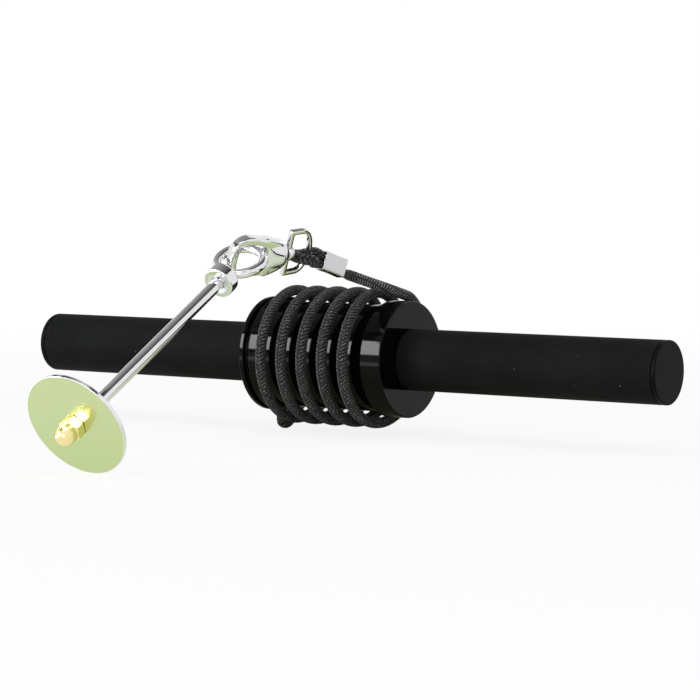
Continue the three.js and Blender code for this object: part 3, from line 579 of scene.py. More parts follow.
def gloss_finish(sizes):
    """Polished black plastic: faint ripples, and fine hairlines that make the gloss a little uneven."""
    n = Nodes(bpy.data.materials.new("polished_drum_black"))
    hairlines = n.noise(900.0, 2.0, (0.06, 1.0, 1.0))
    ripple = n.noise(28.0, 2.0)
    base = n.blend(ripple, scaled(sizes.gloss_colour, 0.3), scaled(sizes.gloss_colour, 0.6))
    n.bump(ripple, 0.00018, 0.12)
    return n.finish(colour=base, rough=n.range(hairlines, 0.35, 0.75, 0.05, 0.12), specular=0.1)


BRAID_COLUMNS = 4
STITCH_SLOPE = 1.3
NO_LEAD = 1e6


def braid_finish(sizes, lead_start=NO_LEAD, lead_end=2 * NO_LEAD):
    """Braided yarn in herringbone columns round the cord. On the UV map, u counts the stitches along the
    cord and v the columns round it. In each column the stitches slope the other way than in its
    neighbours: their phase is u plus or minus the slope times the place across the column, and their
    height is half a wave of the phase. The stitches lie a little unevenly. Each is a bundle of fine
    threads with painted glints, light flecks that stand in for the yarn's shine. The flecks and a faint
    lighter tone are painted on the stitch tops only, and the gaps between stitches stay near black as
    painted shade. Between lead_start and lead_end, where the cord is pulled straight, the stitch crests
    get a painted highlight as light chevrons."""
    n = Nodes(bpy.data.materials.new("braided_cord_black"))
    uv = n.add("ShaderNodeUVMap", uv_map="route").outputs[0]
    u, v = n.add("ShaderNodeSeparateXYZ", {"Vector": uv}).outputs[:2]
    across = n.math("FRACT", v)
    odd = n.math("FLOORED_MODULO", n.math("FLOOR", v), 2.0)
    slope = n.math("SUBTRACT", n.math("MULTIPLY", odd, 2 * STITCH_SLOPE), STITCH_SLOPE)
    shifted = n.math("ADD", u, n.math("MULTIPLY", n.noise(0.9, 1.0, vector=uv), 0.8))
    phase = n.math("FRACT", n.math("ADD", shifted, n.math("MULTIPLY", across, slope)))
    wave = n.math("SINE", n.math("MULTIPLY", phase, np.pi))
    column = n.math("SINE", n.math("MULTIPLY", across, np.pi))
    stitch = n.math("MULTIPLY", wave, n.range(column, 0.0, 0.6, 0.45, 1.0))
    threads = n.math("SINE", n.math("MULTIPLY", phase, 8 * np.pi))
    fine = n.noise(2.6, 3.0, (1.5, 2.4, 1.0), uv, 0.65)
    broad = n.range(n.noise(0.35, 2.0, vector=uv), 0.35, 0.6, 0.5, 1.0)
    # Painted glints: light flecks along the threads that stand in for the yarn's shine.
    glint = n.math("MULTIPLY", n.range(fine, 0.54, 0.62, 0.0, 1.0), broad)
    glint = n.math("MULTIPLY", glint, n.range(threads, -0.6, 0.6, 0.35, 1.0))
    # Painted light and shade: the flecks and a faint lighter tone show only on the stitch tops, and the gaps
    # between stitches stay near black.
    share = n.math("MULTIPLY", n.math("ADD", glint, 0.06), n.range(stitch, 0.3, 0.9, 0.0, 1.0))
    straight = n.math("MINIMUM", n.range(u, lead_start, lead_start + 3.0, 0.0, 1.0),
                      n.range(u, lead_end, lead_end + 3.0, 1.0, 0.0))
    # Painted highlight: light chevrons on the stitch crests of the straight lead.
    crest_highlight = n.math("MULTIPLY", n.range(wave, 0.55, 0.95, 0.0, 0.28), n.range(column, 0.1, 0.5, 0.0, 1.0))
    share = n.math("ADD", share, n.math("MULTIPLY", straight, crest_highlight))
    base = n.blend(share, sizes.braid_colour, sizes.fleck_colour)
    n.bump(n.math("ADD", stitch, n.math("MULTIPLY", threads, 0.15)), 0.0005, 0.9)
    return n.finish(colour=base, rough=n.range(fine, 0.3, 0.7, 0.6, 0.82), specular=0.12, sheen=0.1)


def metal_finish(name, tint, rough_low, rough_high, stretch=(1.0, 1.0, 1.0), scale=500.0, ripple=0.00002):
    """Bright metal: faint waves in the plating and fine handling marks that change how sharp it mirrors."""
    n = Nodes(bpy.data.materials.new(name))
    marks = n.noise(scale, 3.0, stretch)
    base = n.blend(n.noise(120.0, 3.0), scaled(tint, 0.96), tint)
    n.bump(n.noise(70.0, 2.0), ripple, 0.5)
    return n.finish(colour=base, rough=n.range(marks, 0.4, 0.75, rough_low, rough_high), metal=1.0)


def disc_finish(rod, link):
    """A turned bright metal disc whose pale green is a painted reflection of a green surround: fine rings
    round the rod's axis that soften the gloss, and a rim in plain light grey without the painted green.
    """
    n = Nodes(bpy.data.materials.new("disc_painted_green_reflection"))
    reach = n.distance(in_frame(link, [rod.rod_reach, 0, 0]))
    cloud = n.noise(45.0, 3.0)
    # Painted reflection: the pale green stands in for a green surround that the bright disc mirrors.
    green_reflection = n.blend(cloud, scaled(rod.disc_colour, 0.97), rod.disc_colour)
    rim = n.math("GREATER_THAN", reach, rod.disc_diameter / 2 - 0.0003)
    n.bump(n.math("SINE", n.math("MULTIPLY", reach, 21000.0)), 0.000002, 0.35)
    base = n.blend(rim, green_reflection, (0.8, 0.8, 0.82))
    return n.finish(colour=base, rough=n.range(cloud, 0.3, 0.7, 0.14, 0.22), metal=1.0)


# The pieces

def dress(piece, body, slot, material, *nodes):
    """Gives a piece its material and its body, and hides the nodes that it stands for; the slot is not used.
    """
    piece.data.materials.clear()
    piece.data.materials.append(material)
    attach(piece, body)
    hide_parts(*nodes)


def corner_vertices(mesh):
    """The vertex of each face corner."""
    corners = np.zeros(len(mesh.loops), int)
    mesh.loops.foreach_get("vertex_index", corners)
    return corners


def set_uv(mesh, uv):
    """Writes the UV map that the braid reads."""
    mesh.uv_layers.new(name="route").data.foreach_set("uv", uv.astype(np.float32).reshape(-1))


class AddCamera(bpy.types.Operator):
    """Adds the camera at the photograph's angle"""
    bl_idname = "wrist_roller.add_camera"
    bl_label = "Camera"

    sensor_width = 36.0
    right = (0.831646, 0.555305, 0.0)
    up = (-0.041103, 0.061558, 0.997257)
    ahead = (-0.553782, 0.829365, -0.07402)
    place = (0.955564, -1.419632, 0.13099)

    def execute(self, context):
        data = bpy.data.cameras.new("roller_camera")
        data.lens = context.scene.wrist_roller.stage.camera_lens
        data.sensor_width = self.sensor_width
        data.clip_start, data.clip_end = 0.1, 60.0
        camera = bpy.data.objects.new("roller_camera", data)
        back = np.negative(self.ahead)
        camera.matrix_world = Matrix([*zip(self.right, self.up, back, self.place), (0, 0, 0, 1)])
        context.scene.collection.objects.link(camera)
        context.scene.camera = camera
        return {"FINISHED"}


class AddCord(bpy.types.Operator):
    """Adds the braided cord: anchor, winding, lead and loop as one tube"""
    bl_idname = "wrist_roller.add_cord"
    bl_label = "Braided Cord"

    around = 32
    sway_length = 0.05
    relief_middle = 0.6
    knot_half_length = 0.0048
    knot_radius = 0.0060
    knot_inset = 0.0055
    knot_swell = 0.08
    knot_rows, knot_columns = 34, 48
    knot_row_stitches = 0.3

    def sections(self, route, look):
        """Directions across the cord and its radius in each: the radius of an ellipse that is round in the
        open and pressed narrow in the sleeve."""
        cord, chain = look.cord, look.chain
        origin, axes = chain_links(look)["sleeve"]
        place = (route - origin) @ axes.T
        outside = np.maximum(np.maximum(-place[:, 0], place[:, 0] - chain.sleeve_length), 0)
        near = np.linalg.norm(place[:, 1:], axis=1) < chain.sleeve_width
        pressed = np.where(near, np.clip(1 - outside / cord.cord_diameter, 0, 1), 0)[:, None]
        free_start = len(route) - int(round(cord.free_length / CORD_SPACING))
        sway_end = free_start + self.sway_length / CORD_SPACING
        share = smoothstep(free_start, sway_end, np.arange(len(route)))[:, None]
        first, second = ring_axes(route, (1 - share) * np.array([1.0, 0, 0]) + share * axes[1])
        a = whole_turn(self.around)[None, :, None]
        directions = first[:, None] * np.cos(a) + second[:, None] * np.sin(a)
        wide, deep = ring_axes(route, np.broadcast_to(axes[1], route.shape))
        half_wide = (cord.cord_diameter * (1 - pressed) + cord.strand_width * pressed) / 2
        half_deep = (cord.cord_diameter * (1 - pressed) + cord.strand_depth * pressed) / 2
        on_wide = np.einsum("ijk,ik->ij", directions, wide)
        on_deep = np.einsum("ijk,ik->ij", directions, deep)
        return directions, 1 / np.sqrt((on_wide / half_wide) ** 2 + (on_deep / half_deep) ** 2)

    def relief(self, u, v):
        """Height of the stitches: half a wave of the phase, which slopes the other way in every other
        column, lower towards the column's edges."""
        across = v - np.floor(v)
        phase = u + across * (2 * STITCH_SLOPE * (np.floor(v) % 2) - STITCH_SLOPE)
        return np.sin(np.pi * (phase - np.floor(phase))) * (0.45 + 0.55 * np.sin(np.pi * across))

    def execute(self, context):
        look = context.scene.wrist_roller
        cord = look.cord
        route = cord_route(look)
        directions, radius = self.sections(route, look)
        u = np.arange(len(route)) * CORD_SPACING / cord.braid_length
        v = np.arange(self.around) / self.around * BRAID_COLUMNS
        height = self.relief(u[:, None], v[None])
        radius = radius + cord.braid_relief * (height - self.relief_middle)
        points = route[:, None] + directions * radius[..., None]
        vertices, quads, fans = closed_grid(points)
        piece = make_object("braided_cord", [(vertices, quads, fans)], 80.0)
        at_vertex = np.concatenate([placed(u[:, None], v[None]).reshape(-1, 2), [(0, 0), (u[-1], 0)]])
        uv = at_vertex[corner_vertices(piece.data)]
        seam = uv[:len(quads) * 4, 1].reshape(-1, 4)
        wide = seam.max(axis=1) - seam.min(axis=1) > BRAID_COLUMNS / 2
        seam[wide[:, None] & (seam == 0)] = BRAID_COLUMNS
        uv[:len(quads) * 4, 1] = seam.reshape(-1)
        set_uv(piece.data, uv)
        to_sleeve = np.linalg.norm(route - chain_links(look)["sleeve"][0], axis=1)
        lead_start = float(u[-1]) - cord.free_length / cord.braid_length
        lead_end = float(u[np.argmax(to_sleeve < look.chain.sleeve_length)])
        finish = braid_finish(cord, lead_start, lead_end)
        dress(piece, "roller", "cord_braid", finish, "cord_winding", "cord_lead", "cord_loop")
        dress(self.knot(), "roller", "cord_braid", braid_finish(cord), "anchor_knot")
        return {"FINISHED"}

    def knot(self):
        """Stopper knot in the flange's pocket: a ball whose surface swells in three slanting turns of the
        cord, radius = 1 + swell cos(3 longitude + 4 latitude) cos(latitude)."""
        latitude = np.linspace(-np.pi / 2, np.pi / 2, self.knot_rows)[1:-1, None]
        longitude = whole_turn(self.knot_columns)[None]
        swell = 1 + self.knot_swell * np.cos(3 * longitude + 4 * latitude) * np.cos(latitude)
        ball = placed(
            self.knot_half_length * np.sin(latitude) * swell + ANCHOR_POCKET_REACH - self.knot_inset,
            self.knot_radius * np.cos(latitude) * np.cos(longitude) * swell,
            self.knot_radius * np.cos(latitude) * np.sin(longitude) * swell,
        )
        piece = make_object("anchor_knot_turns", [closed_grid(moved(ball, ANCHOR_X, ANCHOR_ANGLE))], 60.0)
        row, column = np.divmod(corner_vertices(piece.data), self.knot_columns)
        across = column / self.knot_columns * BRAID_COLUMNS
        set_uv(piece.data, placed(row * self.knot_row_stitches, across))
        return piece


class AddGrips(bpy.types.Operator):
    """Adds both foam grips, their end caps and the steel tube's finish"""
    bl_idname = "wrist_roller.add_grips"
    bl_label = "Grips And Caps"

    sides = 128
    bore_edge = 0.001
    axis_gap = 0.0004

    def execute(self, context):
        look = context.scene.wrist_roller
        bar, drum = look.bar, look.drum
        outer, inner = bar.grip_diameter / 2, bar.tube_diameter / 2 + bar.fit_gap
        near, end = drum.drum_length / 2 + bar.fit_gap, bar.bar_length / 2
        cap_face = end - bar.cap_thickness
        far = cap_face - bar.fit_gap
        skin = rounded([(near, inner), (near, outer), (far, outer), (far, inner)], bar.grip_edge)
        sleeve = np.concatenate([skin, [(far - self.bore_edge, inner), (near + self.bore_edge, inner)]])
        spigot, spigot_end = bar.tube_diameter / 2 - bar.spigot_inset, cap_face - bar.spigot_length
        plug = rounded([
            (spigot_end, self.axis_gap), (spigot_end, spigot), (cap_face, spigot), (cap_face, outer),
            (end, outer), (end, self.axis_gap),
        ], bar.cap_edge)
        foam, plastic = foam_finish(bar), cap_finish(bar)
        for side, word in ((-1, "left"), (1, "right")):
            grip = make_object(f"{word}_grip_foam", [turned(sleeve * (side, 1), self.sides, wrap=True)])
            dress(grip, "roller", "grip_foam", foam, f"{word}_grip")
            cap = make_object(f"{word}_cap_disc", [turned(plug * (side, 1), self.sides)])
            dress(cap, "roller", "cap_plastic", plastic, f"{word}_end_cap")
        steel = metal_finish("plain_steel", bar.steel_colour, 0.3, 0.42, (0.1, 1.0, 1.0))
        for node in ("core_tube", "drum_screw_1", "drum_screw_2"):
            for place in frame["nodes"][node].material_slots:
                place.material = steel
        return {"FINISHED"}


class AddDrum(bpy.types.Operator):
    """Adds the glossy drum with its flanges, rim groove, cord hole and screw holes"""
    bl_idname = "wrist_roller.add_drum"
    bl_label = "Drum"

    bore_edge = 0.001
    pocket_radius = 0.0071
    mouth_flare = 0.0036
    well_radius, well_flare = 0.0028, 0.006
    well_angles = (245, 295)
    overrun = 0.003
    axis_gap = 0.0001

    def execute(self, context):
        look = context.scene.wrist_roller
        bar, drum, cord = look.bar, look.drum, look.cord
        half, core, rim = drum.drum_length / 2, drum.core_diameter / 2, drum.flange_diameter / 2
        bore, edge = bar.tube_diameter / 2 + bar.fit_gap, self.bore_edge
        left, right = -half + drum.flange_width, half - drum.flange_width
        groove_start = -half + drum.groove_inset
        groove_end, floor = groove_start + drum.groove_width, rim - drum.groove_depth
        outline = rounded([
            (-half, bore + edge), (-half, rim), (groove_start, rim), (groove_start, floor),
            (groove_end, floor), (groove_end, rim), (left, rim), (left, core), (right, core), (right, rim),
            (half, rim), (half, bore + edge),
        ], drum.edge_radius)
        loop = np.concatenate([outline, [(half - edge, bore), (-half + edge, bore)]])
        shell = make_object("drum_shell", [turned(loop, 192, wrap=True)])
        hole, pocket, out = cord.cord_diameter / 2 + bar.fit_gap, self.pocket_radius, rim + self.overrun
        gap, reach = self.axis_gap, ANCHOR_POCKET_REACH
        mouth = rounded([
            (gap, gap), (gap, pocket), (reach, pocket), (reach, hole), (rim - 0.0008, hole),
            (out, hole + self.mouth_flare), (out, gap),
        ], 0.0005)
        well = rounded([
            (gap, gap), (gap, self.well_radius), (rim - 0.0004, self.well_radius), (out, self.well_flare),
            (out, gap),
        ], 0.0003)
        tools = [self.tool(mouth, ANCHOR_X, ANCHOR_ANGLE)]
        tools += [self.tool(well, half - drum.flange_width / 2, np.radians(a)) for a in self.well_angles]
        shell = combined(shell, make_object("drum_holes", tools), "DIFFERENCE")
        dress(shell, "roller", "drum_gloss", gloss_finish(drum), "drum")
        return {"FINISHED"}

    def tool(self, profile, x, turn):
        """Turned cutter that points away from the bar."""
        vertices, quads, fans = turned(profile, 40)
        return outward(moved(vertices, x, turn), quads, fans)


class AddSleeve(bpy.types.Operator):
    """Adds the crimp sleeve that clamps the loop"""
    bl_idname = "wrist_roller.add_sleeve"
    bl_label = "Crimp Sleeve"

    edge_radius = 0.00045
    squareness = 0.24
    press_depth = 0.00025
    press_share = 0.24

    def execute(self, context):
        """The sleeve's wall, a closed loop of place along it and depth under its surface, runs round a
        rounded rectangle, and the surface is pressed in by a bell curve at the middle."""
        look = context.scene.wrist_roller
        chain = look.chain
        wall, end = chain.sleeve_wall, chain.sleeve_length
        outline = rounded([
            (end / 2, 0), (0, 0), (0, -wall), (end, -wall), (end, 0), (end / 2, 0),
        ], self.edge_radius, 4)
        along, depth = outline[:-1, 0], outline[:-1, 1]
        a = whole_turn(120)
        press = self.press_depth * np.exp(-((along - end / 2) / (end * self.press_share)) ** 2)
        shrink = (depth - press * (depth > -wall * 0.5))[:, None]
        across = (chain.sleeve_width / 2 + shrink) * signed_power(np.cos(a), self.squareness)
        away = (chain.sleeve_depth / 2 + shrink) * signed_power(np.sin(a), self.squareness)
        points = in_frame(chain_links(look)["sleeve"], placed(along[:, None], across, away))
        sleeve = make_object("crimp_sleeve_shell", [closed_grid(points, wrap_rows=True)], 50.0)
        finish = metal_finish(
            "satin_sleeve_metal", chain.sleeve_colour, 0.22, 0.26, scale=90.0, ripple=0.00001
        )
        dress(sleeve, "roller", "sleeve_metal", finish, "crimp_sleeve")
        return {"FINISHED"}


class AddEye(bpy.types.Operator):
    """Adds the D shaped swivel eye with the boss for its rivet"""
    bl_idname = "wrist_roller.add_eye"
    bl_label = "Swivel Eye"

    outer_corner = 0.0010
    inner_corner = 0.0006
    squareness = 0.4
    boss_radius = 0.00525
    boss_edge = 0.0007
    axis_gap = 0.0004
    bore_radius = 0.0028
    bore_reach = 0.004

    def execute(self, context):
        look = context.scene.wrist_roller
        chain = look.chain
        link = chain_links(look)["eye"]
        outer = self.outline(chain, 0.0, self.outer_corner)[:, None]
        inner = self.outline(chain, chain.strip_thickness, self.inner_corner)[:, None]
        a = whole_turn(28)
        share = 0.5 + 0.5 * signed_power(np.cos(a), self.squareness)[None, :, None]
        flat = inner + (outer - inner) * share
        deep = chain.strip_width / 2 * signed_power(np.sin(a), self.squareness)
        points = placed(flat[..., 0], flat[..., 1], deep)
        eye = make_object("swivel_eye_ring", [closed_grid(in_frame(link, points), wrap_rows=True)], 50.0)
        face = chain.strip_thickness / 2
        boss = rounded([
            (-face, self.axis_gap), (-face, self.boss_radius), (face, self.boss_radius), (face, self.axis_gap)
        ], self.boss_edge)
        eye = combined(eye, make_object("eye_boss", [turned(boss, 64, link)]), "UNION", 50.0)
        bore = np.array([(-self.bore_reach, self.bore_radius), (self.bore_reach, self.bore_radius)])
        eye = combined(eye, make_object("eye_bore", [turned(bore, 48, link)]), "DIFFERENCE", 50.0)
        finish = metal_finish("bright_eye_metal", chain.metal_colour, 0.04, 0.1)
        dress(eye, "eye", "bright_chrome", finish, "swivel_eye")
        return {"FINISHED"}

    def outline(self, chain, inset, corner):
        """Outline round the D, moved inwards by the inset: a straight bar with a rounded corner at each end,
        two short straight sides, and a bow that is half an ellipse."""
        top = chain.strip_thickness / 2 - inset
        half = chain.eye_width / 2 - inset
        straight = -chain.eye_depth * STRAIGHT_SHARE
        bow = chain.eye_depth - chain.strip_thickness / 2 + straight - inset
        turn = np.linspace(0, np.pi / 2, 9)
        sweep = np.linspace(np.pi / 2, 3 * np.pi / 2, 61)
        sides = np.linspace(top - corner, straight, 7)[1:-1]
        low, high = top - corner, half - corner
        return np.concatenate([
            placed(top, np.linspace(-high, high, 31)),
            placed(low + corner * np.cos(turn), high + corner * np.sin(turn))[1:],
            placed(sides, half),
            placed(straight + bow * np.cos(sweep), half * np.sin(sweep)),
            placed(sides[::-1], -half),
            placed(low + corner * np.sin(turn), -high - corner * np.cos(turn))[:-1],
        ])


class AddHook(bpy.types.Operator):
    """Adds the hook's body, its rivet, gate, pin and spring"""
    bl_idname = "wrist_roller.add_hook"
    bl_label = "Snap Hook"

    arm_length_shares = (0.27, 0.41, 0.545, 0.68, 0.77, 0.85, 0.91, 0.94, 0.948, 0.94, 0.92, 0.895, 0.88)
    arm_height_shares = (0.745, 0.81, 0.86, 0.91, 0.915, 0.87, 0.785, 0.66, 0.5, 0.365, 0.23, 0.125, 0.06)
    arm_half_width = 0.0027
    arm_taper = 0.28
    arm_thinning = (0.35, -0.75)
    arm_end = np.radians(112)
    mouth_blend = np.radians((98, 165))
    cheek_blend = np.radians((100, 150))
    least_wall = 0.0012
    barrel_start, barrel_end = 0.0018, 0.020
    barrel_blend = (0.0005, 0.0215)
    barrel_least = 0.0036
    barrel_rounding = 0.8
    barrel_round_end, barrel_round_length = 0.0078, 0.006
    top_share = 0.8
    nose_angle, lobe_angle = np.radians(-49.5), np.radians(244)
    end_round = np.radians(7)
    least_close = 0.0004
    run_squareness, lift_squareness = 0.5, 0.42
    head_rim, head_height, head_radius = 0.0006, 0.0018, 0.004
    shank_radius, shank_length, shank_edge = 0.0025, 0.012, 0.0002
    blade_start, blade_half, blade_drop, blade_bow = 0.0026, 0.0017, 0.0014, 0.0004
    blade_thinning, blade_narrowing = 0.15, 0.1
    pin_radius, pin_edge, pin_head = 0.0014, 0.0003, 0.0004
    slot_low = (-0.00305, -0.011, -0.00275)
    slot_high = (0.0076, 0.0036, 0.00275)

    def execute(self, context):
        look = context.scene.wrist_roller
        chain, bar = look.chain, look.bar
        link = chain_links(look)["hook"]
        metal = metal_finish("bright_hook_metal", chain.metal_colour, 0.05, 0.12)
        steel = metal_finish("plain_pin_steel", bar.steel_colour, 0.22, 0.35)
        body = make_object("hook_casting", [self.body(chain, link)], 40.0)
        slot = make_object("gate_slot", [self.box(self.slot_low, self.slot_high, link)])
        body = combined(body, slot, "DIFFERENCE", 40.0)
        dress(body, "hook", "bright_chrome", metal, "hook_body")
        dress(self.rivet(chain, bar, link), "hook", "bright_chrome", metal, "swivel_rivet")
        dress(self.gate(chain, link), "gate", "bright_chrome", metal, "hook_gate")
        dress(self.pin(chain, link), "hook", "tube_steel", steel, "gate_pin")
        dress(self.spring(link), "hook", "tube_steel", steel, "gate_spring")
        return {"FINISHED"}

    def reach(self, outline, angles):
        """Distance from the mouth's middle to an outline, at each angle."""
        apart = outline - MOUTH
        angle = np.unwrap(np.arctan2(apart[:, 1], apart[:, 0]))
        angle += 2 * np.pi * np.round((np.pi - angle[60]) / (2 * np.pi))
        order = np.argsort(angle)
        return np.interp(angles, angle[order], np.linalg.norm(apart, axis=1)[order])

    def outlines(self, chain, angles):
        """Distance from the mouth's middle to the inner and to the outer outline, at each angle. The inner
        one is the mouth's ellipse over the body and the inner side of the arm, the outer one the end at
        the swivel, the body's top and bottom and the outer side of the arm."""
        spine = placed(
            chain.hook_length * np.array(self.arm_length_shares),
            chain.hook_height * np.array(self.arm_height_shares) - chain.hook_axis_height,
            0,
        )
        spine = smooth_route(spine, 0.0003)[:, :2]
        along = np.linspace(0, 1, len(spine))
        half = self.arm_half_width * (1 - self.arm_taper * np.clip(along * 3 - 2, 0, 1))[:, None]
        tangent = unit(np.gradient(spine, axis=0))
        normal = placed(-tangent[:, 1], tangent[:, 0])
        outer_arm, inner_arm = spine + normal * half, spine - normal * half
        k = np.linspace(0, 1, 40)
        ease = np.sin(k * np.pi / 2)
        x = self.barrel_start + (self.barrel_end - self.barrel_start) * k
        end = chain.hook_end_diameter / 2
        above = self.top_share * (chain.hook_height - chain.hook_axis_height)
        top = placed(x, end + (above - end) * ease)
        bottom = placed(x, -(end + (chain.hook_axis_height - end) * ease))
        face = placed(self.barrel_start, np.linspace(-end, end, 30))
        outer = np.concatenate([bottom[::-1], face, top[:24], outer_arm[len(outer_arm) // 6:]])
        along_mouth, up_mouth = np.cos(angles) / (MOUTH_LENGTH / 2), np.sin(angles) / (MOUTH_HEIGHT / 2)
        ellipse = 1 / np.sqrt(along_mouth ** 2 + up_mouth ** 2)
        apart = inner_arm - MOUTH
        angle, distance = np.arctan2(apart[:, 1], apart[:, 0]), np.linalg.norm(apart, axis=1)
        near = angle < self.arm_end
        order = np.argsort(angle[near])
        arm = np.interp(angles, angle[near][order], distance[near][order])
        share = smoothstep(*self.mouth_blend, angles)
        inner = arm * (1 - share) + ellipse * share
        return inner, np.maximum(self.reach(outer, angles), inner + self.least_wall)

    def body(self, chain, link):
        """Closed loops round the mouth's middle: at each angle the loop runs from the inner outline over
        the front to the outer one and back over the rear, as a rounded rectangle whose half depth is
        the barrel's circle near the swivel, and the cheek's and the arm's beyond it."""
        angles = np.linspace(self.nose_angle, self.lobe_angle, 200)
        inner, outer = self.outlines(chain, angles)
        a = whole_turn(72)
        run = 0.5 - 0.5 * signed_power(np.cos(a), self.run_squareness)[None]
        lift = signed_power(np.sin(a), self.lift_squareness)[None]
        reach = inner[:, None] + (outer - inner)[:, None] * run
        to_end = np.minimum(angles - self.nose_angle, self.lobe_angle - angles)
        from_end = np.clip(to_end / self.end_round, 0, 1)
        close = np.sqrt(np.clip(1 - (1 - from_end) ** 2, self.least_close, 1))[:, None]
        middle = (inner + outer)[:, None] / 2
        reach = middle + (reach - middle) * close
        x = MOUTH[0] + reach * np.cos(angles)[:, None]
        y = MOUTH[1] + reach * np.sin(angles)[:, None]
        barrel = np.sqrt(np.clip((chain.hook_end_diameter / 2) ** 2 - y ** 2, self.barrel_least ** 2, None))
        cheek = chain.hook_body_depth / 2
        thinning = self.arm_taper * smoothstep(*self.arm_thinning, angles)
        arm = chain.hook_arm_depth / 2 * (1 - thinning)[:, None]
        flat = arm + (cheek - arm) * smoothstep(*self.cheek_blend, angles)[:, None]
        share = smoothstep(*self.barrel_blend, x)
        to_end = np.clip((self.barrel_round_end - x) / self.barrel_round_length, 0, 1)
        end = np.sqrt(1 - self.barrel_rounding * to_end ** 2)
        depth = (barrel * (1 - share) + flat * share) * close * end
        return closed_grid(in_frame(link, placed(x, y, depth * lift)))

    def box(self, low, high, link):
        """Box between two corners, which are given from the gate's pivot."""
        low, high = np.array(low), np.array(high)
        square = np.array([(0, 0), (0, 1), (1, 1), (1, 0)])
        points = placed(np.array([[0], [1]]), square[:, 0], square[:, 1])
        return closed_grid(in_frame(link, GATE_PIVOT + low + points * (high - low)))

    def rivet(self, chain, bar, link):
        """Rivet with a domed head, a quarter of an ellipse turned round the rivet's axis."""
        face = -chain.strip_thickness / 2 - bar.fit_gap
        turn = np.linspace(np.pi / 2, 0, 10)
        height = self.head_rim + self.head_height * np.sin(turn)
        dome = placed(face - height, self.head_radius * np.cos(turn) + 0.0001)
        narrow, tip, edge = self.shank_radius, face + self.shank_length, self.shank_edge
        shank = [
            (face, self.head_radius - 0.0001), (face, narrow), (tip - edge, narrow), (tip, narrow - edge)
        ]
        return make_object("swivel_rivet_turned", [turned(np.concatenate([dome, shank]), 64, link)])

    def gate(self, chain, link):
        """Gate: a blade whose height and width follow a rounded rectangle that tapers to the tip, a ring on
        the pin, and a block that joins them."""
        k = np.linspace(0, 1, 40)[:, None]
        close = np.sqrt(np.clip(1 - np.clip(np.abs(k * 2 - 1) * 20 - 19, 0, 1) ** 2, 0.02, 1))
        a = whole_turn(36)[None]
        high = self.blade_half * (1 - self.blade_thinning * k) * close * signed_power(np.sin(a), 0.5)
        half = chain.gate_width / 2
        wide = half * (1 - self.blade_narrowing * k) * close * signed_power(np.cos(a), 0.5)
        bow = -self.blade_drop + self.blade_bow * np.sin(np.pi * k)
        blade = placed(self.blade_start + (chain.gate_length - self.blade_start) * k, bow + high, wide)
        near, side, edge, reach, bore = 0.0006, 0.0024, 0.0002, 0.0027, 0.0014
        z = np.array([
            edge - side, -side, -side, edge - side, -edge - near, -near, -near, -edge - near
        ])[:, None]
        r = np.array([bore, bore + edge, reach - edge, reach])
        r = np.concatenate([r, r[::-1]])[:, None]
        a = whole_turn(48)[None]
        ring = placed(r * np.cos(a), r * np.sin(a), z)
        root = self.box((0.0018, -0.0031, -0.0023), (0.0046, 0.0002, -0.0007), link)
        shells = [closed_grid(in_frame(link, blade + GATE_PIVOT)),
                  closed_grid(in_frame(link, ring + GATE_PIVOT), wrap_rows=True), root]
        return make_object("gate_lever", shells)

    def pin(self, chain, link):
        """Pin with a low dome on each end, standing a little proud of the cheeks."""
        reach, head, radius = chain.hook_body_depth / 2, self.pin_head, self.pin_radius
        shank = radius - self.pin_edge
        z = np.array([-head - reach, -head + 0.0001 - reach, -reach, head - reach])
        r = np.array([shank - 0.0005, shank, radius, shank])
        z, r = np.concatenate([z, -z[::-1]])[:, None], np.concatenate([r, r[::-1]])[:, None]
        a = whole_turn(32)[None]
        points = placed(r * np.cos(a), r * np.sin(a), z) + GATE_PIVOT
        return make_object("gate_pin_headed", [closed_grid(in_frame(link, points))])

    def spring(self, link):
        """Coil round the pin: a helix of two turns that rises by its pitch, with a short straight leg at
        each end."""
        radius, pitch, leg, wire = 0.0018, 0.00105, 0.0006, 0.0003
        turn = np.linspace(0, 4 * np.pi, 97)
        coil = placed(radius * np.cos(turn), radius * np.sin(turn), pitch * turn / (2 * np.pi))
        route = np.concatenate([[(radius, -leg, 0)], coil, [(radius, leg, 2 * pitch)]]) + GATE_PIVOT
        first, second = ring_axes(route, np.broadcast_to(np.array([0, 0, 1.0]), route.shape))
        a = whole_turn(12)[None, :, None]
        points = route[:, None] + wire * (first[:, None] * np.cos(a) + second[:, None] * np.sin(a))
        return make_object("gate_spring_wire", [closed_grid(in_frame(link, points))], 80.0)


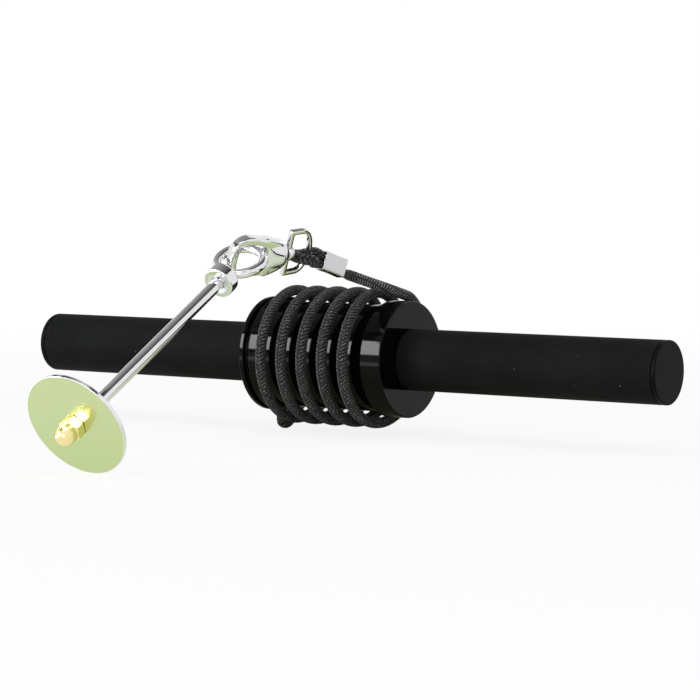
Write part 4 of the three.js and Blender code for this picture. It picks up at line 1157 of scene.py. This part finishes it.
class AddRod(bpy.types.Operator):
    """Adds the eye nut, the rod, the disc and both nuts"""
    bl_idname = "wrist_roller.add_rod"
    bl_label = "Plate Rod"

    boss_sink = 0.002
    boss_edge = 0.0012
    thread_length = 0.0094
    tip_length = 0.0101
    rod_edge = 0.0006
    disc_edge = 0.0003
    bore_edge = 0.0005
    axis_gap = 0.0003
    foot_depth = 0.0096
    neck_start, neck_radius = 0.0021, 0.0050
    flare_start, flare_radius, flare_end = 0.0003, 0.0066, 0.0034
    dome_share, dome_power = 0.47, 0.8
    hole_edge = 0.0004
    corner_softening = 0.985

    def execute(self, context):
        look = context.scene.wrist_roller
        rod, chain, bar = look.rod, look.chain, look.bar
        link = chain_links(look)["rod"]
        metal = metal_finish("bright_rod_metal", chain.metal_colour, 0.04, 0.1, (1.0, 0.12, 0.12))
        steel = metal_finish("plain_nut_steel", bar.steel_colour, 0.2, 0.32)
        brass = metal_finish("polished_brass", rod.brass_colour, 0.16, 0.26)
        radius, gap = rod.rod_diameter / 2, bar.fit_gap
        boss_start = (rod.ring_diameter + rod.ring_wire) / 2 - self.boss_sink
        boss_end = boss_start + rod.boss_length
        nut = self.eye_nut(rod, boss_start, boss_end, radius + gap / 2, link)
        dress(nut, "loading_rod", "bright_chrome", metal, "eye_nut")
        near, far = rod.rod_reach - rod.disc_thickness / 2, rod.rod_reach + rod.disc_thickness / 2
        start, tip = boss_end - self.thread_length, far + self.tip_length
        axis = self.axis_gap
        shaft = rounded([(start, axis), (start, radius), (tip, radius), (tip, axis)], self.rod_edge)
        shaft = make_object("plate_rod_bar", [turned(shaft, 96, link)])
        dress(shaft, "loading_rod", "bright_chrome", metal, "plate_rod")
        rim, bore, edge = rod.disc_diameter / 2, radius + gap, self.bore_edge
        face = rounded([(near, bore + edge), (near, rim), (far, rim), (far, bore + edge)], self.disc_edge)
        disc = np.concatenate([face, [(far - edge, bore), (near + edge, bore)]])
        disc = make_object("plate_disc_turned", [turned(disc, 192, link, wrap=True)])
        dress(disc, "loading_rod", "pale_zinc", disc_finish(rod, link), "plate_disc")
        dress(self.lock_nut(rod, near - gap, bore, link), "loading_rod", "tube_steel", steel, "lock_nut")
        dress(self.dome_nut(rod, far + gap, bore, link), "loading_rod", "polished_brass", brass, "dome_nut")
        return {"FINISHED"}

    def eye_nut(self, rod, start, end, bore, link):
        """A ring, the circle of its wire carried round the ring's circle, joined with a round foot whose
        neck flares into the ring."""
        a, b = whole_turn(120)[:, None], whole_turn(40)[None]
        reach = rod.ring_diameter / 2 + rod.ring_wire / 2 * np.cos(b)
        ring = placed(reach * np.cos(a), rod.ring_wire / 2 * np.sin(b), reach * np.sin(a))
        nut = make_object("eye_nut_forging", [closed_grid(in_frame(link, ring), wrap_rows=True)], 50.0)
        wide, neck = rod.boss_diameter / 2, start - self.neck_start
        foot = rounded([
            (neck, self.axis_gap), (neck, self.neck_radius), (start + self.flare_start, self.flare_radius),
            (start + self.flare_end, wide), (end, wide), (end, bore + 0.0002),
        ], self.boss_edge, 6)
        depth = end - self.foot_depth
        foot = np.concatenate([foot, [(end - 0.0002, bore), (depth, bore), (depth, self.axis_gap)]])
        return combined(nut, make_object("eye_nut_foot", [turned(foot, 96, link)]), "UNION", 50.0)

    def hex_shell(self, profile, across, link, wrap=False):
        """Shell turned from a profile of (x, r), with each radius held inside a hexagon: half its width
        over the cosine of the angle from the nearest flat's middle, with its corners softened."""
        a = whole_turn(144)
        off = (a + np.pi / 6) % (np.pi / 3) - np.pi / 6
        hexagon = np.minimum(across / 2 / np.cos(off), across / np.sqrt(3) * self.corner_softening)
        r = np.minimum(profile[:, 1, None], hexagon[None])
        points = placed(profile[:, 0, None], r * np.sin(a), r * np.cos(a))
        return closed_grid(in_frame(link, points), wrap_rows=wrap)

    def slant(self, x, r, along, up):
        """Six points of a chamfer that starts at (x, r)."""
        return np.array([x, r]) + np.linspace(0, 1, 6)[:, None] * np.array([along, up])

    def lock_nut(self, rod, end, bore, link):
        """Hexagon with a chamfer at both ends."""
        corner, edge = rod.nut_across_flats / np.sqrt(3), self.hole_edge
        start = end - rod.lock_nut_height
        profile = np.concatenate([
            [(start + edge, bore), (start, bore + edge)], self.slant(start, corner - 0.0012, 0.0008, 0.0013),
            self.slant(end - 0.0008, corner + 0.0001, 0.0008, -0.0013),
            [(end, bore + edge), (end - edge, bore)],
        ])
        nut = self.hex_shell(profile, rod.nut_across_flats, link, wrap=True)
        return make_object("lock_nut_hex", [nut], 25.0)

    def dome_nut(self, rod, start, bore, link):
        """Hexagon that ends in a bullet: the radius falls with a power of the cosine while the length grows
        with the sine."""
        corner, edge = rod.nut_across_flats / np.sqrt(3), self.hole_edge
        hex_end, depth = start + rod.hex_length, start + rod.thread_depth
        k = np.linspace(0, 1, 20) * np.pi / 2
        neck = rod.nut_across_flats * self.dome_share
        profile = np.concatenate([
            [(depth, 0.0002), (depth, bore), (start + edge, bore), (start, bore + edge)],
            self.slant(start, corner - 0.0008, 0.0006, 0.0009),
            self.slant(hex_end - 0.0012, corner + 0.0001, 0.0012, -0.0015),
            placed(hex_end + rod.dome_length * np.sin(k), neck * np.cos(k) ** self.dome_power + 0.0002),
        ])
        return make_object("dome_nut_turned", [self.hex_shell(profile, rod.nut_across_flats, link)], 25.0)


class AddStage(bpy.types.Operator):
    """Adds the floor, the soft lights, the cards that bright metal mirrors, and the sky"""
    bl_idname = "wrist_roller.add_stage"
    bl_label = "Stage"

    floor_size = 12.0
    low = FLOOR_HEIGHT + 0.001
    steep = 0.95

    def execute(self, context):
        look = context.scene.wrist_roller.stage
        self.floor(look)
        self.sky(context, look)
        self.lamp("key_window", (-0.72, -0.99, 0.44), (0.5, 0.42), 3.0)
        self.lamp("top_fill", (0.2, -0.5, 1.5), (1.1, 0.8), 6.0)
        # Bright windows for the drum and the metal to mirror
        self.card("window_mirrored", (-0.71, -0.98, 0.44), (0.5, 0.5), 24.0)
        self.card("window_on_floor", (-0.31, -0.45, self.low), (0.4, 0.4), 4.0, (0, 0, 1))
        self.card("window_right", (0.48, -1.32, 0.34), (0.34, 0.3), 14.0)
        # Dark cards that they mirror in place of the white sky
        self.card("card_left_front", (-0.9, -1.12, 0.55), (0.55, 0.9), 0.1, (-1, 0, 0))
        self.card("card_left_above", (-0.9, -0.7, 1.5), (1.4, 1.0), 0.1, (-1, 0, 0))
        self.card("card_left_back", (-0.9, 0.7, 1.3), (1.4, 1.3), 0.03, (-1, 0, 0))
        self.card("card_above", (-0.03, -0.08, 0.3), (0.5, 0.28), (0.55, 0.01), (0, 0, 1))
        self.card("card_above_disc", (0.0, -0.238, 0.2), (0.26, 0.046), 0.015, (0, 0, 1))
        self.card("card_low_right", (0.255, -0.13, self.low), (0.1, 0.16), 0.012, (0, 0, 1))
        context.scene.view_settings.view_transform = "Standard"
        return {"FINISHED"}

    def axes(self, place, back=None):
        """Place, and the right, up and back directions of a thing there, with its back to the given side or
        away from the middle."""
        place = np.array(place, float)
        back = unit(place) if back is None else np.array(back, float)
        above = np.array([0, 0, 1.0]) if abs(back[2]) < self.steep else np.array([0, 1.0, 0])
        side = unit(np.cross(above, back))
        return place, side, np.cross(back, side), back

    def plane(self, name, place, size, back=None):
        """A flat rectangle of the stage."""
        place, side, up, _ = self.axes(place, back)
        right, top = side * size[0] / 2, up * size[1] / 2
        corners = [place - right - top, place + right - top, place + right + top, place - right + top]
        mesh = bpy.data.meshes.new(name)
        mesh.from_pydata(corners, [], [(0, 1, 2, 3)])
        flat = bpy.data.objects.new(name, mesh)
        bpy.context.scene.collection.objects.link(flat)
        return flat

    def card(self, name, place, size, greys, back=None):
        """A card that only mirrors: the camera, shadows and soft light pass it. Its grey fades along X, from
        the first value at its left edge to the second at its right one."""
        card = self.plane(name, place, size, back)
        n = Nodes(bpy.data.materials.new(name))
        along = n.add("ShaderNodeSeparateXYZ", {"Vector": n.place()}).outputs[0]
        low, high = (float(grey) for grey in np.broadcast_to(greys, 2))
        grey = n.range(along, place[0] - size[0] / 2, place[0] + size[0] / 2, low, high)
        glow = n.add("ShaderNodeEmission", {"Color": (1.0, 1.0, 1.0), "Strength": grey})
        card.data.materials.append(n.surface(glow))
        card.visible_camera = card.visible_diffuse = card.visible_shadow = False
        card.visible_transmission = card.visible_volume_scatter = False

    def lamp(self, name, place, size, power):
        """A soft lamp that shines at the middle of the roller."""
        data = bpy.data.lights.new(name, "AREA")
        data.shape = "RECTANGLE"
        data.size, data.size_y = size
        data.energy = power
        lamp = bpy.data.objects.new(name, data)
        place, side, up, back = self.axes(place)
        lamp.matrix_world = Matrix([*zip(side, up, back, place), (0, 0, 0, 1)])
        bpy.context.scene.collection.objects.link(lamp)

    def floor(self, look):
        """A pale floor: near the roller a share of it takes light and shadow, further out it is even. As
        metal mirrors it, it is even too, except under the bar, and pale green in patches close by."""
        size = (self.floor_size, self.floor_size)
        floor = self.plane("floor", (0, 0, FLOOR_HEIGHT - 0.0001), size, (0, 0, 1))
        n = Nodes(bpy.data.materials.new("pale_floor"))
        reach = n.distance((0, 0, 0))
        even = n.range(reach, 0.35, 1.1, 0.86, 1.0)
        far = n.range(reach, 0.07, 0.16, 0.0, 1.0)
        path = n.add("ShaderNodeLightPath").outputs
        mirrored = n.math("MAXIMUM", path["Is Glossy Ray"], path["Is Transmission Ray"])
        near = n.range(n.distance((0.02, -0.07, FLOOR_HEIGHT)), 0.15, 0.24, 1.0, 0.0)
        tint = n.math("MULTIPLY", near, n.range(n.noise(9.0, 1.0), 0.42, 0.55, 0.45, 1.0))
        tint = n.math("MULTIPLY", tint, mirrored)
        paint = n.blend(tint, look.floor_colour, look.mirrored_colour)
        matte = n.add("ShaderNodeBsdfDiffuse", {"Color": paint})
        paper = n.blend(tint, (1.0, 1.0, 1.0), look.mirrored_colour)
        glow = n.add("ShaderNodeEmission", {"Color": paper, "Strength": 1.0})
        seen = n.math("MULTIPLY", path["Is Camera Ray"], even)
        share = n.math("ADD", seen, n.math("MULTIPLY", mirrored, far))
        mix = n.add("ShaderNodeMixShader", {0: share, 1: matte.outputs[0], 2: glow.outputs[0]})
        floor.data.materials.append(n.surface(mix))

    def sky(self, context, look):
        """An even sky for soft light, and white where it is seen or mirrored."""
        world = bpy.data.worlds.new("plain_sky")
        context.scene.world = world
        n = Nodes(world)
        path = n.add("ShaderNodeLightPath").outputs
        mirrored = n.math("MAXIMUM", path["Is Glossy Ray"], path["Is Transmission Ray"])
        seen = n.math("MAXIMUM", path["Is Camera Ray"], mirrored)
        shade = n.tree.nodes["Background"]
        n.put(shade.inputs["Color"], (1.0, 1.0, 1.0))
        n.put(shade.inputs["Strength"], n.range(seen, 0.0, 1.0, look.sky_strength, 1.0))


class RollerLook(bpy.types.PropertyGroup):
    """All the sizes and colours that the sidebar shows"""
    bar: PointerProperty(type=BarSizes, name="Bar", description="Bar and grips")
    drum: PointerProperty(type=DrumSizes, name="Drum", description="Drum")
    cord: PointerProperty(type=CordSizes, name="Cord", description="Braided cord")
    chain: PointerProperty(type=ChainSizes, name="Chain", description="Sleeve, eye and hook")
    rod: PointerProperty(type=RodSizes, name="Rod", description="Eye nut, rod, disc and nuts")
    stage: PointerProperty(type=StageLook, name="Stage", description="Floor, light and camera")


STEPS = (AddCamera, AddCord, AddGrips, AddDrum, AddSleeve, AddEye, AddHook, AddRod, AddStage)
GROUPS = (BarSizes, DrumSizes, CordSizes, ChainSizes, RodSizes, StageLook, RollerLook)


class RollerPanel(bpy.types.Panel):
    """Lists the sizes and the steps that build the wrist roller"""
    bl_idname = "VIEW3D_PT_wrist_roller"
    bl_label = "Wrist Roller"
    bl_space_type = "VIEW_3D"
    bl_region_type = "UI"
    bl_category = "Wrist Roller"

    def draw(self, context):
        look = context.scene.wrist_roller
        for step in STEPS:
            self.layout.operator(step.bl_idname)
        for name in RollerLook.__annotations__:
            group = getattr(look, name)
            box = self.layout.box()
            box.label(text=name.capitalize())
            for key in group.__annotations__:
                box.prop(group, key)


def register():
    """Registers the sizes, the steps and the panel."""
    for kind in (*GROUPS, *STEPS, RollerPanel):
        bpy.utils.register_class(kind)
    bpy.types.Scene.wrist_roller = PointerProperty(type=RollerLook)


def unregister():
    """Takes them out again."""
    del bpy.types.Scene.wrist_roller
    for kind in reversed((*GROUPS, *STEPS, RollerPanel)):
        bpy.utils.unregister_class(kind)


def main():
    """Builds the roller step by step."""
    register()
    for step in STEPS:
        group, name = step.bl_idname.split(".")
        getattr(getattr(bpy.ops, group), name)()


if __name__ == "__main__":
    main()
